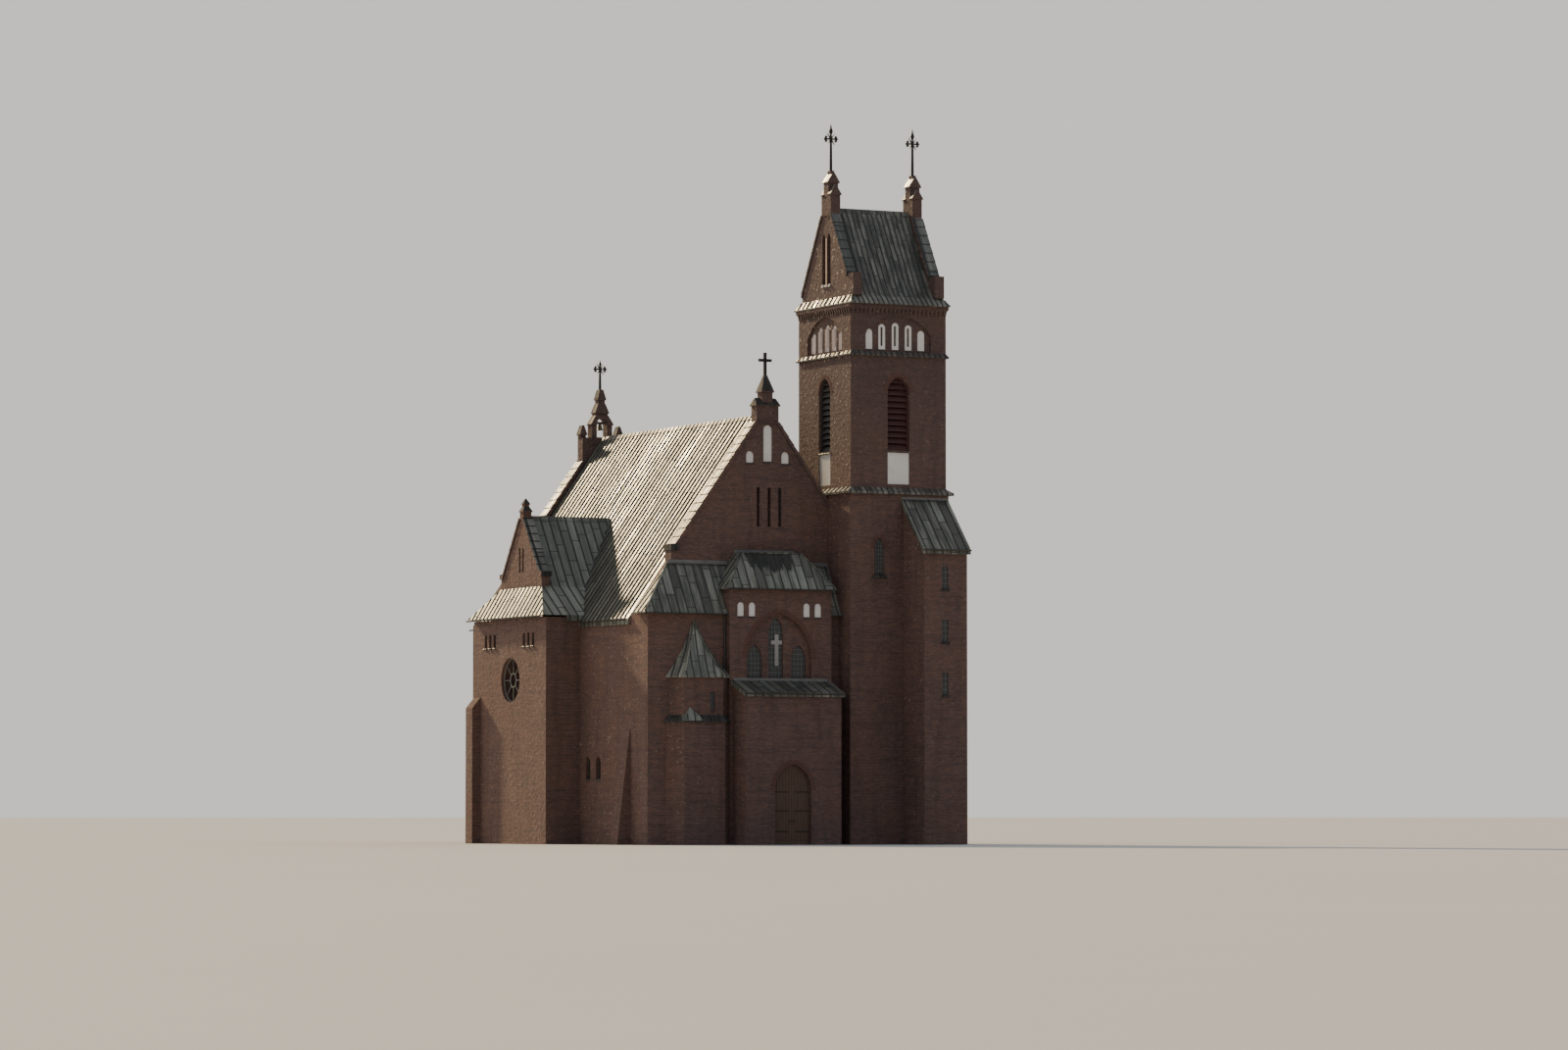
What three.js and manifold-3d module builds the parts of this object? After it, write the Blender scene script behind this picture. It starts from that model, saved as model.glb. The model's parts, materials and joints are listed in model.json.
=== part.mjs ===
// A brick church with copper roofs: saddleback tower, nave, narthex, transepts, chancel.
// Millimetres. +X runs along the front, +Y back along the nave, +Z up from the ground.
// Places are measured from the tower's front left corner; the group is centred at the end.
import * as THREE from "three";
import { ConvexGeometry } from "three/addons/geometries/ConvexGeometry.js";
import { mergeVertices } from "three/addons/utils/BufferGeometryUtils.js";
import Module from "manifold-3d";

const wasm = await Module();
wasm.setup();

// Driving dimensions

const GAP = 0.3; // left where a piece is cut to fit its neighbour
const FAR = 60000; // past every face of the building

const TOWER = { left: 0, right: 5840, front: 0, back: 6110, set: 100, wall: 1000 };
TOWER.midX = (TOWER.left + TOWER.right) / 2;
TOWER.midY = (TOWER.front + TOWER.back) / 2;
const TOWER_Z = {
  lowerTop: 18860,
  belfryFoot: 19230,
  belfryTop: 26320,
  nicheFoot: 26580,
  corniceFoot: 28800,
  roofFoot: 29130,
  eavesTop: 29600,
  ridge: 34570,
};
const STRING_OUT = { lower: 320, upper: 130 }; // how far the string courses stand out
const TOWER_KNEE = { in: 550, up: 800 }; // where the roof's slope steepens
const TOWER_EAVE = { side: 150, front: 280 }; // overhang of the roof
const TOWER_CAP = 36610; // top of a pinnacle's plate
const TOWER_CROSS = { foot: TOWER_CAP, head: 38360, top: 39200, reach: 420 };
const REAR_CROSS = { foot: 25930, head: 27110, top: 27620, reach: 410 };
const TOWER_GABLE = { set: 120, thick: 550, foot: 29880, apex: 34950, run: 2855 };
const TOWER_KNEELER = { front: -40, back: 620, top: 30800 }; // brick block at the front foot of a gable
const LOUVRE = { half: 670, sill: 21250, spring: 24410, apex: 25240, frame: 90, deep: 170 };
const LOUVRE_BOARDS = 12;
const PANEL = { low: 19410, high: 21140, deep: 90 };
const NICHE_ROW = { xs: [-1740, -950, -130, 670, 1450], tops: [27800, 28080, 28170, 28080, 27800] };
const NICHE_HALF = 220;
const NICHE_FOOT = 26700;
const SLIT_HALF = 70;

const ANNEX = { left: 3150, right: 5780, front: -2450, wall: 450, slit: 4440, slitHalf: 190 };
const ANNEX_ROOF = { top: 18600, eave: 15850, edge: -2600, side: 150, thick: 280 };
const ANNEX_SLITS = [8000, 10850, 13700];

const NAVE = { mid: -3800, half: 7750, front: 2500, gable: 750, wall: 900, back: 23300 };
NAVE.left = NAVE.mid - NAVE.half;
NAVE.right = NAVE.mid + NAVE.half;
NAVE.inner = NAVE.front + NAVE.gable;
NAVE.end = NAVE.back + 700;
const NAVE_RIDGE = 23150;
const NAVE_SLOPE = 1.407;
const NAVE_EAVE = 120; // overhang past the side walls
const NAVE_ROOF_THICK = 350;
const NAVE_GABLE = { run: 5560, foots: 170 }; // half width of the coping, and its level feet
const COPING = { thick: 300, proud: 70, saw: 60, sheet: 560, seatThick: 80 };
const FRONT_COPING = 330; // underside of the front coping above the roof
const REAR_COPING = 170;
const GABLE_NICHES = [
  { x: 65, half: 270, foot: 20590, top: 22570 },
  { x: -1010, half: 235, foot: 20500, top: 21140 },
  { x: 1120, half: 235, foot: 20500, top: 21140 },
];
const GABLE_NICHE_DEEP = 150;
const GABLE_SLOTS = { xs: [-510, 150, 790], half: 90, low: 17080, high: 19200 };
const FLOOR_TOP = 150;

const NARTHEX = { front: 1150, wall: 600, top: 15000, eave: 12250, edge: 850, thick: 260 };
const BAY = { left: -6950, right: -840, front: 650, deep: 900, top: 13600, mid: -3950 };
const BAY_ROOF = { over: 200, top: 15600, back: 1650, ridgeLeft: -5750, ridgeRight: -2150 };
const PORTAL = { mid: -4000, half: 1950, foot: 8900, spring: 9900, apex: 12360, deep: 200 };
const PORTAL_WINDOWS = [
  { mid: -5360, half: 440, spring: 9900, apex: 10700 },
  { mid: -4100, half: 440, spring: 11300, apex: 12170 },
  { mid: -2740, half: 440, spring: 9900, apex: 10700 },
];
const BAY_NICHES = [-6290, -5610, -2330, -1650];
const PORCH = { left: -6750, right: -1050, front: -900, wall: 450, top: 8730, eave: 8100 };
const PORCH_DOOR = { half: 1100, spring: 2900, apex: 4300, thick: 90, set: 200 };
const PASSAGE = { half: 3000, spring: 7000, apex: 10200 };

const CANT = { wallLeft: -10280, left: -9800, right: -7500, front: 350, ledge: 6500 };
CANT.eave = 8860;
CANT.peakX = -8850;
CANT.peak = 11950;
CANT.wall = 350;
CANT.foot = 150; // how far the lower stage stands out

const ARM = { outer: -13600, front: 9600, back: 19200, wall: 1100, side: 800, top: 12300 };
ARM.mid = (ARM.front + ARM.back) / 2;
const ARM_ROOF = { ridge: 18000, knee: 14050, kneeHalf: 2700, eaveHalf: 5050, eave: 12400 };
ARM_ROOF.thick = 300;
ARM_ROOF.edge = -13900;
const ARM_GABLE = { outer: -12900, thick: 500, kneeler: 14900, apex: 18050 };
const ROSE = { z: 8960, radius: 1225 };
const CROSSING = { half: 3900, spring: 7600, apex: 10900 };

const CHANCEL = { half: 4500, straight: 29600, end: 32900, nook: 2500, wall: 700, top: 10500 };
CHANCEL.ridge = 17400;
CHANCEL.ridgeEnd = 29400;
CHANCEL.over = 250;
const CHANCEL_ARCH = { half: 3100, spring: 6200, apex: 8900 };

const BELLCOTE = { half: 1250, base: 23140, flank: 1140, y: NAVE.back + 350 };
const BELL = { pivot: 24020, opening: 330, sill: 23180, spring: 23950, radius: 195, high: 360 };
const JOURNAL = { radius: 20, clear: 2, reach: 395, sides: 32 };

// Finishes

function finish(color, roughness, metalness = 0) {
  return new THREE.MeshStandardMaterial({ color, roughness, metalness });
}

const FINISH = {
  brick: finish(0x5b3b31, 0.9),
  copper: finish(0x77837a, 0.55, 0.3),
  iron: finish(0x1d1d1f, 0.6, 0.7),
  glass: finish(0x27323a, 0.15),
  wood: finish(0x45291f, 0.7),
  bronze: finish(0x6c5b34, 0.4, 0.9),
  stone: finish(0x8b857b, 0.9),
};

// Solids

function solidOf(geometry) {
  geometry.deleteAttribute("normal");
  geometry.deleteAttribute("uv");
  const merged = mergeVertices(geometry, 1e-3);
  const vertProperties = merged.attributes.position.array;
  const triVerts = new Uint32Array(merged.index.array);
  return new wasm.Manifold(new wasm.Mesh({ numProp: 3, vertProperties, triVerts }));
}

function geometryOf(solid) {
  const { vertProperties, triVerts } = solid.getMesh();
  const geometry = new THREE.BufferGeometry();
  geometry.setAttribute("position", new THREE.BufferAttribute(vertProperties, 3));
  geometry.setIndex(new THREE.BufferAttribute(triVerts, 1));
  return geometry;
}

function joined(solids) {
  return solids.reduce((all, solid) => all.add(solid));
}

function cut(solid, cutters) {
  return cutters.reduce((left, cutter) => left.subtract(cutter), solid);
}

function block(x0, x1, y0, y1, z0, z1) {
  const box = new THREE.BoxGeometry(x1 - x0, y1 - y0, z1 - z0);
  return solidOf(box.translate((x0 + x1) / 2, (y0 + y1) / 2, (z0 + z1) / 2));
}

function hull(points) {
  return solidOf(new ConvexGeometry(points.map(([x, y, z]) => new THREE.Vector3(x, y, z))));
}

function rectangle(x0, x1, y0, y1, z) {
  return [[x0, y0, z], [x1, y0, z], [x1, y1, z], [x0, y1, z]];
}

function prism(outline, depth, basis) {
  const shape = new THREE.Shape(outline.map(([a, b]) => new THREE.Vector2(a, b)));
  const options = { depth, bevelEnabled: false, steps: 1 };
  return new THREE.ExtrudeGeometry(shape, options).applyMatrix4(basis);
}

// An outline of [x, z] points drawn out along Y.
function alongY(outline, y0, y1) {
  const basis = new THREE.Matrix4().makeBasis(
    new THREE.Vector3(1, 0, 0),
    new THREE.Vector3(0, 0, 1),
    new THREE.Vector3(0, -1, 0),
  );
  return solidOf(prism(outline, y1 - y0, basis).translate(0, y1, 0));
}

// An outline of [y, z] points drawn out along X.
function alongX(outline, x0, x1) {
  const basis = new THREE.Matrix4().makeBasis(
    new THREE.Vector3(0, 1, 0),
    new THREE.Vector3(0, 0, 1),
    new THREE.Vector3(1, 0, 0),
  );
  return solidOf(prism(outline, x1 - x0, basis).translate(x0, 0, 0));
}

// An outline of [x, y] points drawn up along Z.
function upward(outline, z0, z1) {
  return solidOf(prism(outline, z1 - z0, new THREE.Matrix4()).translate(0, 0, z0));
}

// A rod along X, Y or Z through a centre.
function rod(centre, radius, length, axis, sides = 16) {
  const geometry = new THREE.CylinderGeometry(radius, radius, length, sides);
  if (axis === "x") geometry.rotateZ(Math.PI / 2);
  if (axis === "z") geometry.rotateX(Math.PI / 2);
  return solidOf(geometry.translate(...centre));
}

// A hull with the same hull, lowered by the roof's thickness, taken out from under it.
function shell(points, thick) {
  return hull(points).subtract(hull(points.map(([x, y, z]) => [x, y, z - thick])));
}

// An opening with a pointed head where it rises more than its half width, else a segmental one.
function arch(mid, half, foot, spring, apex, steps = 7) {
  const rise = apex - spring;
  const points = [[mid - half, foot]];
  const pointed = rise > half;
  const radius = (half * half + rise * rise) / (2 * (pointed ? half : rise));
  const turn = pointed ? Math.acos((radius - half) / radius) : Math.asin(half / radius);
  for (let i = 0; i < steps; i++) {
    const a = (turn * i) / steps;
    if (pointed) points.push([mid - half + radius - radius * Math.cos(a), spring + radius * Math.sin(a)]);
    else points.push([mid - radius * Math.sin(turn - a), apex - radius + radius * Math.cos(turn - a)]);
  }
  const right = points.slice().reverse().map(([a, b]) => [2 * mid - a, b]);
  return [...points, [mid, apex], ...right];
}

function circle(mid, z, radius, steps = 32) {
  const turn = (i) => (2 * Math.PI * i) / steps;
  const point = (i) => [mid + radius * Math.cos(turn(i)), z + radius * Math.sin(turn(i))];
  return Array.from({ length: steps }, (_, i) => point(i));
}

// A wall of a rectangular tower stage: outside rectangle less the shaft.
function stage(out, z0, z1) {
  const { left, right, front, back } = TOWER;
  return block(left - out, right + out, front - out, back + out, z0, z1).subtract(shaft());
}

function shaft() {
  const { left, right, front, back, wall } = TOWER;
  return block(left + wall, right - wall, front + wall, back - wall, -FAR, FAR);
}

function towerRectangle(out, z) {
  const { left, right, front, back } = TOWER;
  return rectangle(left - out, right + out, front - out, back + out, z);
}

// Cuts the same opening through both the front and back, and both the left and right.
function towerCuts(outline) {
  const shift = (mid) => outline.map(([a, b]) => [a + mid, b]);
  return [alongY(shift(TOWER.midX), -FAR, FAR), alongX(shift(TOWER.midY), -FAR, FAR)];
}

// Sinks the same recess into the four faces of the upper tower.
function towerRecesses(outline, deep) {
  const { left, right, front, back, midX, midY } = TOWER;
  const onX = outline.map(([a, b]) => [a + midX, b]);
  const onY = outline.map(([a, b]) => [a + midY, b]);
  return [
    alongY(onX, front - deep, front + deep),
    alongY(onX, back - deep, back + deep),
    alongX(onY, left - deep, left + deep),
    alongX(onY, right - deep, right + deep),
  ];
}

// A strip over a gable's two slopes, its sheets laid like saw teeth, with a flat seat on top.
function copingOutline({ mid, run, foot, apex, thick, seat, foots }) {
  const slope = (apex - foot) / run;
  const length = Math.hypot(run, apex - foot);
  const count = Math.round(length / COPING.sheet);
  const left = [];
  for (let i = 0; i < count; i++) {
    const a = (run * i) / count;
    const b = (run * (i + 1)) / count;
    left.push([-run + a, foot + a * slope + thick + COPING.saw]);
    left.push([-run + b, foot + b * slope + thick]);
  }
  const flat = apex + thick - seat * slope;
  const side = left.filter(([a, b]) => a < -seat - 1 && b < flat - 1);
  side.push([-seat, flat]);
  side.unshift([-run - foots, foot + thick + COPING.saw]);
  side.unshift([-run - foots, foot]);
  side.unshift([-run, foot]);
  const seatFoot = flat - COPING.seatThick;
  const seatHalf = (apex - seatFoot) / slope;
  side.unshift([-seatHalf, seatFoot]);
  const right = side.slice().reverse().map(([a, b]) => [-a, b]);
  const points = [...side, ...right].map(([a, b]) => [a + mid, b + GAP]);
  return { flat: flat + GAP, seatFoot, seatHalf, points };
}

const church = new THREE.Group();

function piece(name, solid, material, parent = church) {
  const mesh = new THREE.Mesh(geometryOf(solid), material);
  mesh.name = name;
  parent.add(mesh);
  return mesh;
}

// Tower

function towerLowerWalls() {
  const window = arch(1700, 300, 14500, 15900, 16500, 5);
  const sideWindow = arch(TOWER.midY, 300, 14500, 15900, 16500, 5);
  const walls = stage(TOWER.set, 0, TOWER_Z.lowerTop);
  return cut(walls, [alongY(window, -FAR, TOWER.midY), alongX(sideWindow, TOWER.midX, FAR)]);
}

function stringCourse(out, z0, z1) {
  const lip = (z1 - z0) / 3;
  const points = [...towerRectangle(out, z0), ...towerRectangle(out, z0 + lip)];
  return hull([...points, ...towerRectangle(0, z1)]).subtract(shaft());
}

function belfryWalls() {
  const { half, sill, spring, apex } = LOUVRE;
  const panel = [[-half, PANEL.low], [half, PANEL.low], [half, PANEL.high], [-half, PANEL.high]];
  const walls = stage(0, TOWER_Z.belfryFoot, TOWER_Z.belfryTop);
  return cut(walls, [
    ...towerCuts(arch(0, half, sill, spring, apex)),
    ...towerRecesses(panel, PANEL.deep),
  ]);
}

// Boards in a frame, drawn at the origin with the outside towards -Y.
function louvre() {
  const { half, sill, spring, apex, frame, deep } = LOUVRE;
  const outer = alongY(arch(0, half - GAP, sill + GAP, spring, apex - GAP), 0, deep);
  const opening = arch(0, half - frame, sill + frame, spring, apex - frame);
  const pitch = (apex - frame - sill) / LOUVRE_BOARDS;
  const boards = [];
  for (let i = 0; i < LOUVRE_BOARDS; i++) {
    const z = sill + frame + pitch * i;
    const tilt = pitch * 0.75;
    const section = [[10, z - 20], [deep - 10, z - 20 + tilt], [deep - 10, z + 15 + tilt], [10, z + 15]];
    boards.push(alongX(section, -half, half).intersect(outer));
  }
  return joined([outer.subtract(alongY(opening, -FAR, FAR)), ...boards]);
}

function placeLouvres() {
  const { left, right, front, back, midX, midY } = TOWER;
  const inset = 150;
  const places = [
    ["louvre_front", midX, front + inset, 0],
    ["louvre_right", right - inset, midY, 1],
    ["louvre_back", midX, back - inset, 2],
    ["louvre_left", left + inset, midY, 3],
  ];
  for (const [name, x, y, quarters] of places) {
    const mesh = piece(name, louvre(), FINISH.wood);
    mesh.rotation.z = (quarters * Math.PI) / 2;
    mesh.position.set(x, y, 0);
  }
}

function nicheWalls() {
  const walls = stage(0, TOWER_Z.nicheFoot, TOWER_Z.corniceFoot + 1);
  const panel = arch(0, 2010, TOWER_Z.nicheFoot - 10, 27500, 28560, 8);
  const cutters = towerRecesses(panel, 120);
  NICHE_ROW.xs.forEach((x, i) => {
    const top = NICHE_ROW.tops[i];
    const niche = arch(x, NICHE_HALF, NICHE_FOOT, top - NICHE_HALF, top, 5);
    cutters.push(...towerRecesses(niche, 260));
    if (i > 0 && i < NICHE_ROW.xs.length - 1) {
      const slit = [[x - SLIT_HALF, NICHE_FOOT + 200], [x + SLIT_HALF, NICHE_FOOT + 200]];
      cutters.push(...towerCuts([...slit, [x + SLIT_HALF, top - 170], [x - SLIT_HALF, top - 170]]));
    }
  });
  return cut(walls, cutters).add(cornice());
}

function cornice() {
  const { corniceFoot, roofFoot } = TOWER_Z;
  const points = [...towerRectangle(0, corniceFoot), ...towerRectangle(120, corniceFoot + 180)];
  return hull([...points, ...towerRectangle(120, roofFoot)]).subtract(shaft());
}

function towerEaves() {
  const { roofFoot, eavesTop } = TOWER_Z;
  const { left, right, front, back } = TOWER;
  const { side, front: over } = TOWER_EAVE;
  const rim = (z) => rectangle(left - side, right + side, front - over, back + over, z);
  const top = towerRectangle(-TOWER_GABLE.set, eavesTop);
  return hull([...rim(roofFoot), ...rim(roofFoot + 70), ...top]).subtract(shaft());
}

// The bell-cast slopes of the tower's roof, from front eave to back eave.
function towerRoofLine(lift) {
  const { run } = TOWER_GABLE;
  const { eavesTop, ridge } = TOWER_Z;
  const knee = [run - TOWER_KNEE.in, eavesTop + TOWER_KNEE.up + lift];
  const slopes = [[-run, eavesTop], [-knee[0], knee[1]], [0, ridge + lift], knee, [run, eavesTop]];
  return slopes.map(([a, b]) => [a + TOWER.midY, b]);
}

function towerRoof() {
  const { set, thick } = TOWER_GABLE;
  const { left, right, midY } = TOWER;
  const inner = towerRoofLine(0).map(([a, b]) => [midY + (a - midY) * 0.92, b - 420]);
  const roof = alongX(towerRoofLine(0), left + set + thick, right - set - thick);
  return roof.subtract(alongX(inner, left, right));
}

function towerCoping() {
  const { foot, apex, run } = TOWER_GABLE;
  const shape = { mid: TOWER.midY, run, foot, apex, thick: 260, seat: 560 };
  return copingOutline({ ...shape, foots: 40 });
}

function towerGable(x0, coping) {
  const { thick, foot, run } = TOWER_GABLE;
  const half = [[run, TOWER_Z.eavesTop], [run, foot], [coping.seatHalf, coping.seatFoot]];
  const outline = [...half, ...half.slice().reverse().map(([a, b]) => [-a, b])];
  const wall = alongX(outline.map(([a, b]) => [a + TOWER.midY, b]), x0, x0 + thick);
  const { front, back, top } = TOWER_KNEELER;
  const kneeler = block(x0, x0 + thick, front, back, TOWER_Z.eavesTop, top);
  const slot = (mid) => alongX(arch(TOWER.midY + mid, 190, 30400, 32850, 33150, 4), -FAR, FAR);
  return cut(wall.add(kneeler), [slot(-295), slot(295)]);
}

// A brick block with a shoulder at front and back, each under a saddle cap whose ridge runs along Y.
function towerPinnacle(midX, foot) {
  const y = TOWER.midY;
  const slab = (x, y0, y1, z) => rectangle(midX - x, midX + x, y + y0, y + y1, z);
  const saddle = (x, y0, y1, eave, ridge) => {
    return hull([...slab(x, y0, y1, eave), ...slab(x, y0, y1, eave + 50), ...slab(20, y0, y1, ridge)]);
  };
  return joined([
    hull([...slab(290, -550, 550, foot), ...slab(290, -550, 550, 35280)]),
    saddle(350, -600, -270, 35260, 35810),
    saddle(350, 270, 600, 35260, 35810),
    hull([...slab(290, -290, 290, 35270), ...slab(290, -290, 290, 35960)]),
    saddle(370, -350, 350, 35930, 36530),
    hull([...slab(110, -200, 200, 36440), ...slab(110, -200, 200, TOWER_CAP)]),
  ]);
}

// An iron cross standing on a cap: a shaft, four flared arms and rays between them.
function ironCross(midX, midY, { foot, head, top, reach }) {
  const thick = 35;
  const bar = (x0, x1, z0, z1) => block(midX + x0, midX + x1, midY - thick, midY + thick, z0, z1);
  const bars = [bar(-50, 50, foot, top), bar(-reach, reach, head - 50, head + 50)];
  const flare = (dx, dz) => {
    const tip = reach * 0.98;
    const root = reach * 0.6;
    const wide = reach * 0.24;
    const point = (along, across) => [midX + dx * along + dz * across, head + dz * along + dx * across];
    const outline = [point(root, -30), point(tip, -wide), point(tip, wide), point(root, 30)];
    return alongY(dx + dz < 0 || dz > 0 ? outline.slice().reverse() : outline, midY - thick, midY + thick);
  };
  const ray = (turn) => {
    const geometry = new THREE.BoxGeometry(reach * 1.5, thick * 1.6, 60);
    return solidOf(geometry.rotateY(turn).translate(midX, midY, head));
  };
  bars.push(flare(1, 0), flare(-1, 0), flare(0, 1), flare(0, -1));
  bars.push(ray(Math.PI / 4), ray(-Math.PI / 4));
  return joined(bars);
}

function makeTower() {
  const { set, thick } = TOWER_GABLE;
  piece("tower_lower_walls", towerLowerWalls(), FINISH.brick);
  const { lowerTop, belfryFoot, belfryTop, nicheFoot } = TOWER_Z;
  const lowerString = stringCourse(STRING_OUT.lower, lowerTop, belfryFoot);
  piece("tower_lower_string", lowerString, FINISH.copper);
  piece("tower_belfry_walls", belfryWalls(), FINISH.brick);
  placeLouvres();
  const upperString = stringCourse(STRING_OUT.upper, belfryTop, nicheFoot);
  piece("tower_upper_string", upperString, FINISH.copper);
  piece("tower_niche_walls", nicheWalls(), FINISH.brick);
  piece("tower_eaves", towerEaves(), FINISH.copper);
  piece("tower_roof", towerRoof(), FINISH.copper);
  const coping = towerCoping();
  const reach = set + thick - GAP;
  const roofRoom = alongX(towerRoofLine(GAP), TOWER.left + reach, TOWER.right - reach);
  const kneelerRoom = block(-FAR, FAR, -FAR, TOWER_KNEELER.back + GAP, -FAR, FAR);
  const sides = [["left", TOWER.left + set], ["right", TOWER.right - set - thick]];
  for (const [side, x0] of sides) {
    piece(`tower_${side}_gable`, towerGable(x0, coping), FINISH.brick);
    const strip = alongX(coping.points, x0 - COPING.proud, x0 + thick + COPING.proud);
    const pinnacle = towerPinnacle(x0 + thick / 2, coping.flat);
    piece(`tower_${side}_coping`, cut(strip, [roofRoom, kneelerRoom]), FINISH.copper);
    piece(`tower_${side}_pinnacle`, pinnacle.subtract(roofRoom), FINISH.brick);
    const cross = ironCross(x0 + thick / 2, TOWER.midY, TOWER_CROSS);
    piece(`tower_${side}_cross`, cross, FINISH.iron);
  }
}

// Stair annex

function annexRoofLine(y) {
  const { top, eave, edge } = ANNEX_ROOF;
  const foot = TOWER.front - TOWER.set;
  return top - ((foot - y) * (top - eave)) / (foot - edge);
}

function makeAnnex() {
  const { left, right, front, wall, slit, slitHalf } = ANNEX;
  const { edge, side, thick } = ANNEX_ROOF;
  const foot = TOWER.front - TOWER.set;
  const under = (y) => annexRoofLine(y) - thick - GAP;
  const outline = [[front, 0], [foot, 0], [foot, under(foot)], [front, under(front)]];
  const inside = block(left + wall, right - wall, front + wall, foot + 1, -1, FAR);
  const slits = ANNEX_SLITS.map((z) =>
    block(slit - slitHalf, slit + slitHalf, front - 1, front + wall + 1, z, z + 1200),
  );
  piece("stair_annex_walls", cut(alongX(outline, left, right), [inside, ...slits]), FINISH.brick);
  const band = [[edge, annexRoofLine(edge) - thick], [foot, annexRoofLine(foot) - thick]];
  band.push([foot, annexRoofLine(foot)], [edge, annexRoofLine(edge)]);
  const roof = alongX(band, left - side, right + side);
  piece("stair_annex_roof", roof, FINISH.copper);
}

// Nave

function naveRoofLine(x) {
  return NAVE_RIDGE - Math.abs(x - NAVE.mid) * NAVE_SLOPE;
}

// Everything under the nave's roof, raised a little, to cut what meets it.
function naveVolume(lift) {
  const left = NAVE.left - NAVE_EAVE - lift;
  const right = NAVE.right + NAVE_EAVE + lift;
  const outline = [
    [left, -FAR],
    [right, -FAR],
    [right, naveRoofLine(right) + lift],
    [NAVE.mid, NAVE_RIDGE + lift],
    [left, naveRoofLine(left) + lift],
  ];
  return alongY(outline, -FAR, FAR);
}

function towerFootprint(out) {
  const { left, right, front, back, set } = TOWER;
  return block(left - set - out, right + set + out, front - FAR, back + set + out, -FAR, FAR);
}

function makeNaveRoof() {
  const left = NAVE.left - NAVE_EAVE;
  const right = NAVE.right + NAVE_EAVE;
  const outline = [
    [left, naveRoofLine(left)],
    [left, naveRoofLine(left) - NAVE_ROOF_THICK],
    [NAVE.mid, NAVE_RIDGE - NAVE_ROOF_THICK],
    [right, naveRoofLine(right) - NAVE_ROOF_THICK],
    [right, naveRoofLine(right)],
    [NAVE.mid, NAVE_RIDGE],
  ];
  const roof = alongY(outline, NAVE.inner, NAVE.back);
  piece("nave_roof", roof.subtract(towerFootprint(GAP)), FINISH.copper);
}

// The gable line and coping shared by the front and rear gables.
function naveCoping(lift, seat) {
  const { run, foots } = NAVE_GABLE;
  const apex = NAVE_RIDGE + lift;
  const foot = apex - run * NAVE_SLOPE;
  const shape = { mid: NAVE.mid, run, foot, apex, thick: COPING.thick, seat, foots };
  return { foot, ...copingOutline(shape) };
}

function gableOutline(coping) {
  const outer = NAVE_GABLE.run + NAVE_GABLE.foots;
  const half = [
    [-NAVE.half, 0],
    [-NAVE.half, naveRoofLine(NAVE.left) - GAP],
    [-outer, naveRoofLine(NAVE.mid - outer) - GAP],
    [-outer, coping.foot],
    [-NAVE_GABLE.run, coping.foot],
    [-coping.seatHalf, coping.seatFoot],
  ];
  const other = half.slice().reverse().map(([a, b]) => [-a, b]);
  return [...half, ...other].map(([a, b]) => [a + NAVE.mid, b]);
}

function makeFrontGable() {
  const coping = naveCoping(FRONT_COPING, 740);
  const { front, inner, mid } = NAVE;
  const limit = TOWER.left - TOWER.set;
  const clip = block(limit, FAR, -FAR, FAR, -FAR, FAR);
  const wall = alongY(gableOutline(coping), front, inner);
  const openings = [clip];
  for (const { x, half, foot, top } of GABLE_NICHES) {
    const niche = arch(mid + x, half, foot, top - half, top, 5);
    openings.push(alongY(niche, front - 1, front + GABLE_NICHE_DEEP));
  }
  for (const x of GABLE_SLOTS.xs) {
    const { half, low, high } = GABLE_SLOTS;
    openings.push(block(mid + x - half, mid + x + half, front - 1, inner + 1, low, high));
  }
  const passage = arch(BAY.mid, PASSAGE.half, -1, PASSAGE.spring, PASSAGE.apex);
  openings.push(alongY(passage, -FAR, FAR));
  piece("front_gable_wall", cut(wall, openings), FINISH.brick);
  const strip = alongY(coping.points, front - COPING.proud, inner + COPING.proud);
  const roofBelow = naveVolume(GAP).intersect(block(-FAR, FAR, inner - 1, FAR, -FAR, FAR));
  const clipped = block(limit - GAP, FAR, -FAR, FAR, -FAR, FAR);
  const stringRoom = block(-STRING_OUT.lower - GAP, FAR, -FAR, FAR, TOWER_Z.lowerTop - GAP, FAR);
  piece("front_gable_coping", cut(strip, [clipped, stringRoom, roofBelow]), FINISH.copper);
  makeFrontPinnacle((front + inner) / 2, coping.flat);
}

// A brick block between two capped shoulders, and a small steep spire.
function makeFrontPinnacle(y, foot) {
  const mid = NAVE.mid + 80;
  const square = (x, half, z) => rectangle(mid - x, mid + x, y - half, y + half, z);
  const top = 25310;
  const pinnacle = joined([
    hull([...square(660, 330, foot), ...square(660, 330, 23640)]),
    hull([...square(740, 400, 23600), ...square(740, 400, 23650), ...square(620, 40, 24050)]),
    hull([...square(320, 280, 23640), ...square(320, 280, 24370)]),
    hull([...square(390, 350, 24340), ...square(390, 350, 24400), ...square(190, 170, 24900),
      ...square(80, 80, top)]),
  ]);
  piece("front_pinnacle", pinnacle, FINISH.brick);
  const cross = joined([
    block(mid - 75, mid + 75, y - 60, y + 60, top, 26510),
    block(mid - 385, mid + 385, y - 60, y + 60, 26020, 26170),
  ]);
  piece("front_cross", cross, FINISH.iron);
}

function bellcoteOpening() {
  const { opening, sill, spring } = BELL;
  return alongY(arch(NAVE.mid, opening, sill, spring, spring + opening, 6), -FAR, FAR);
}

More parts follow.
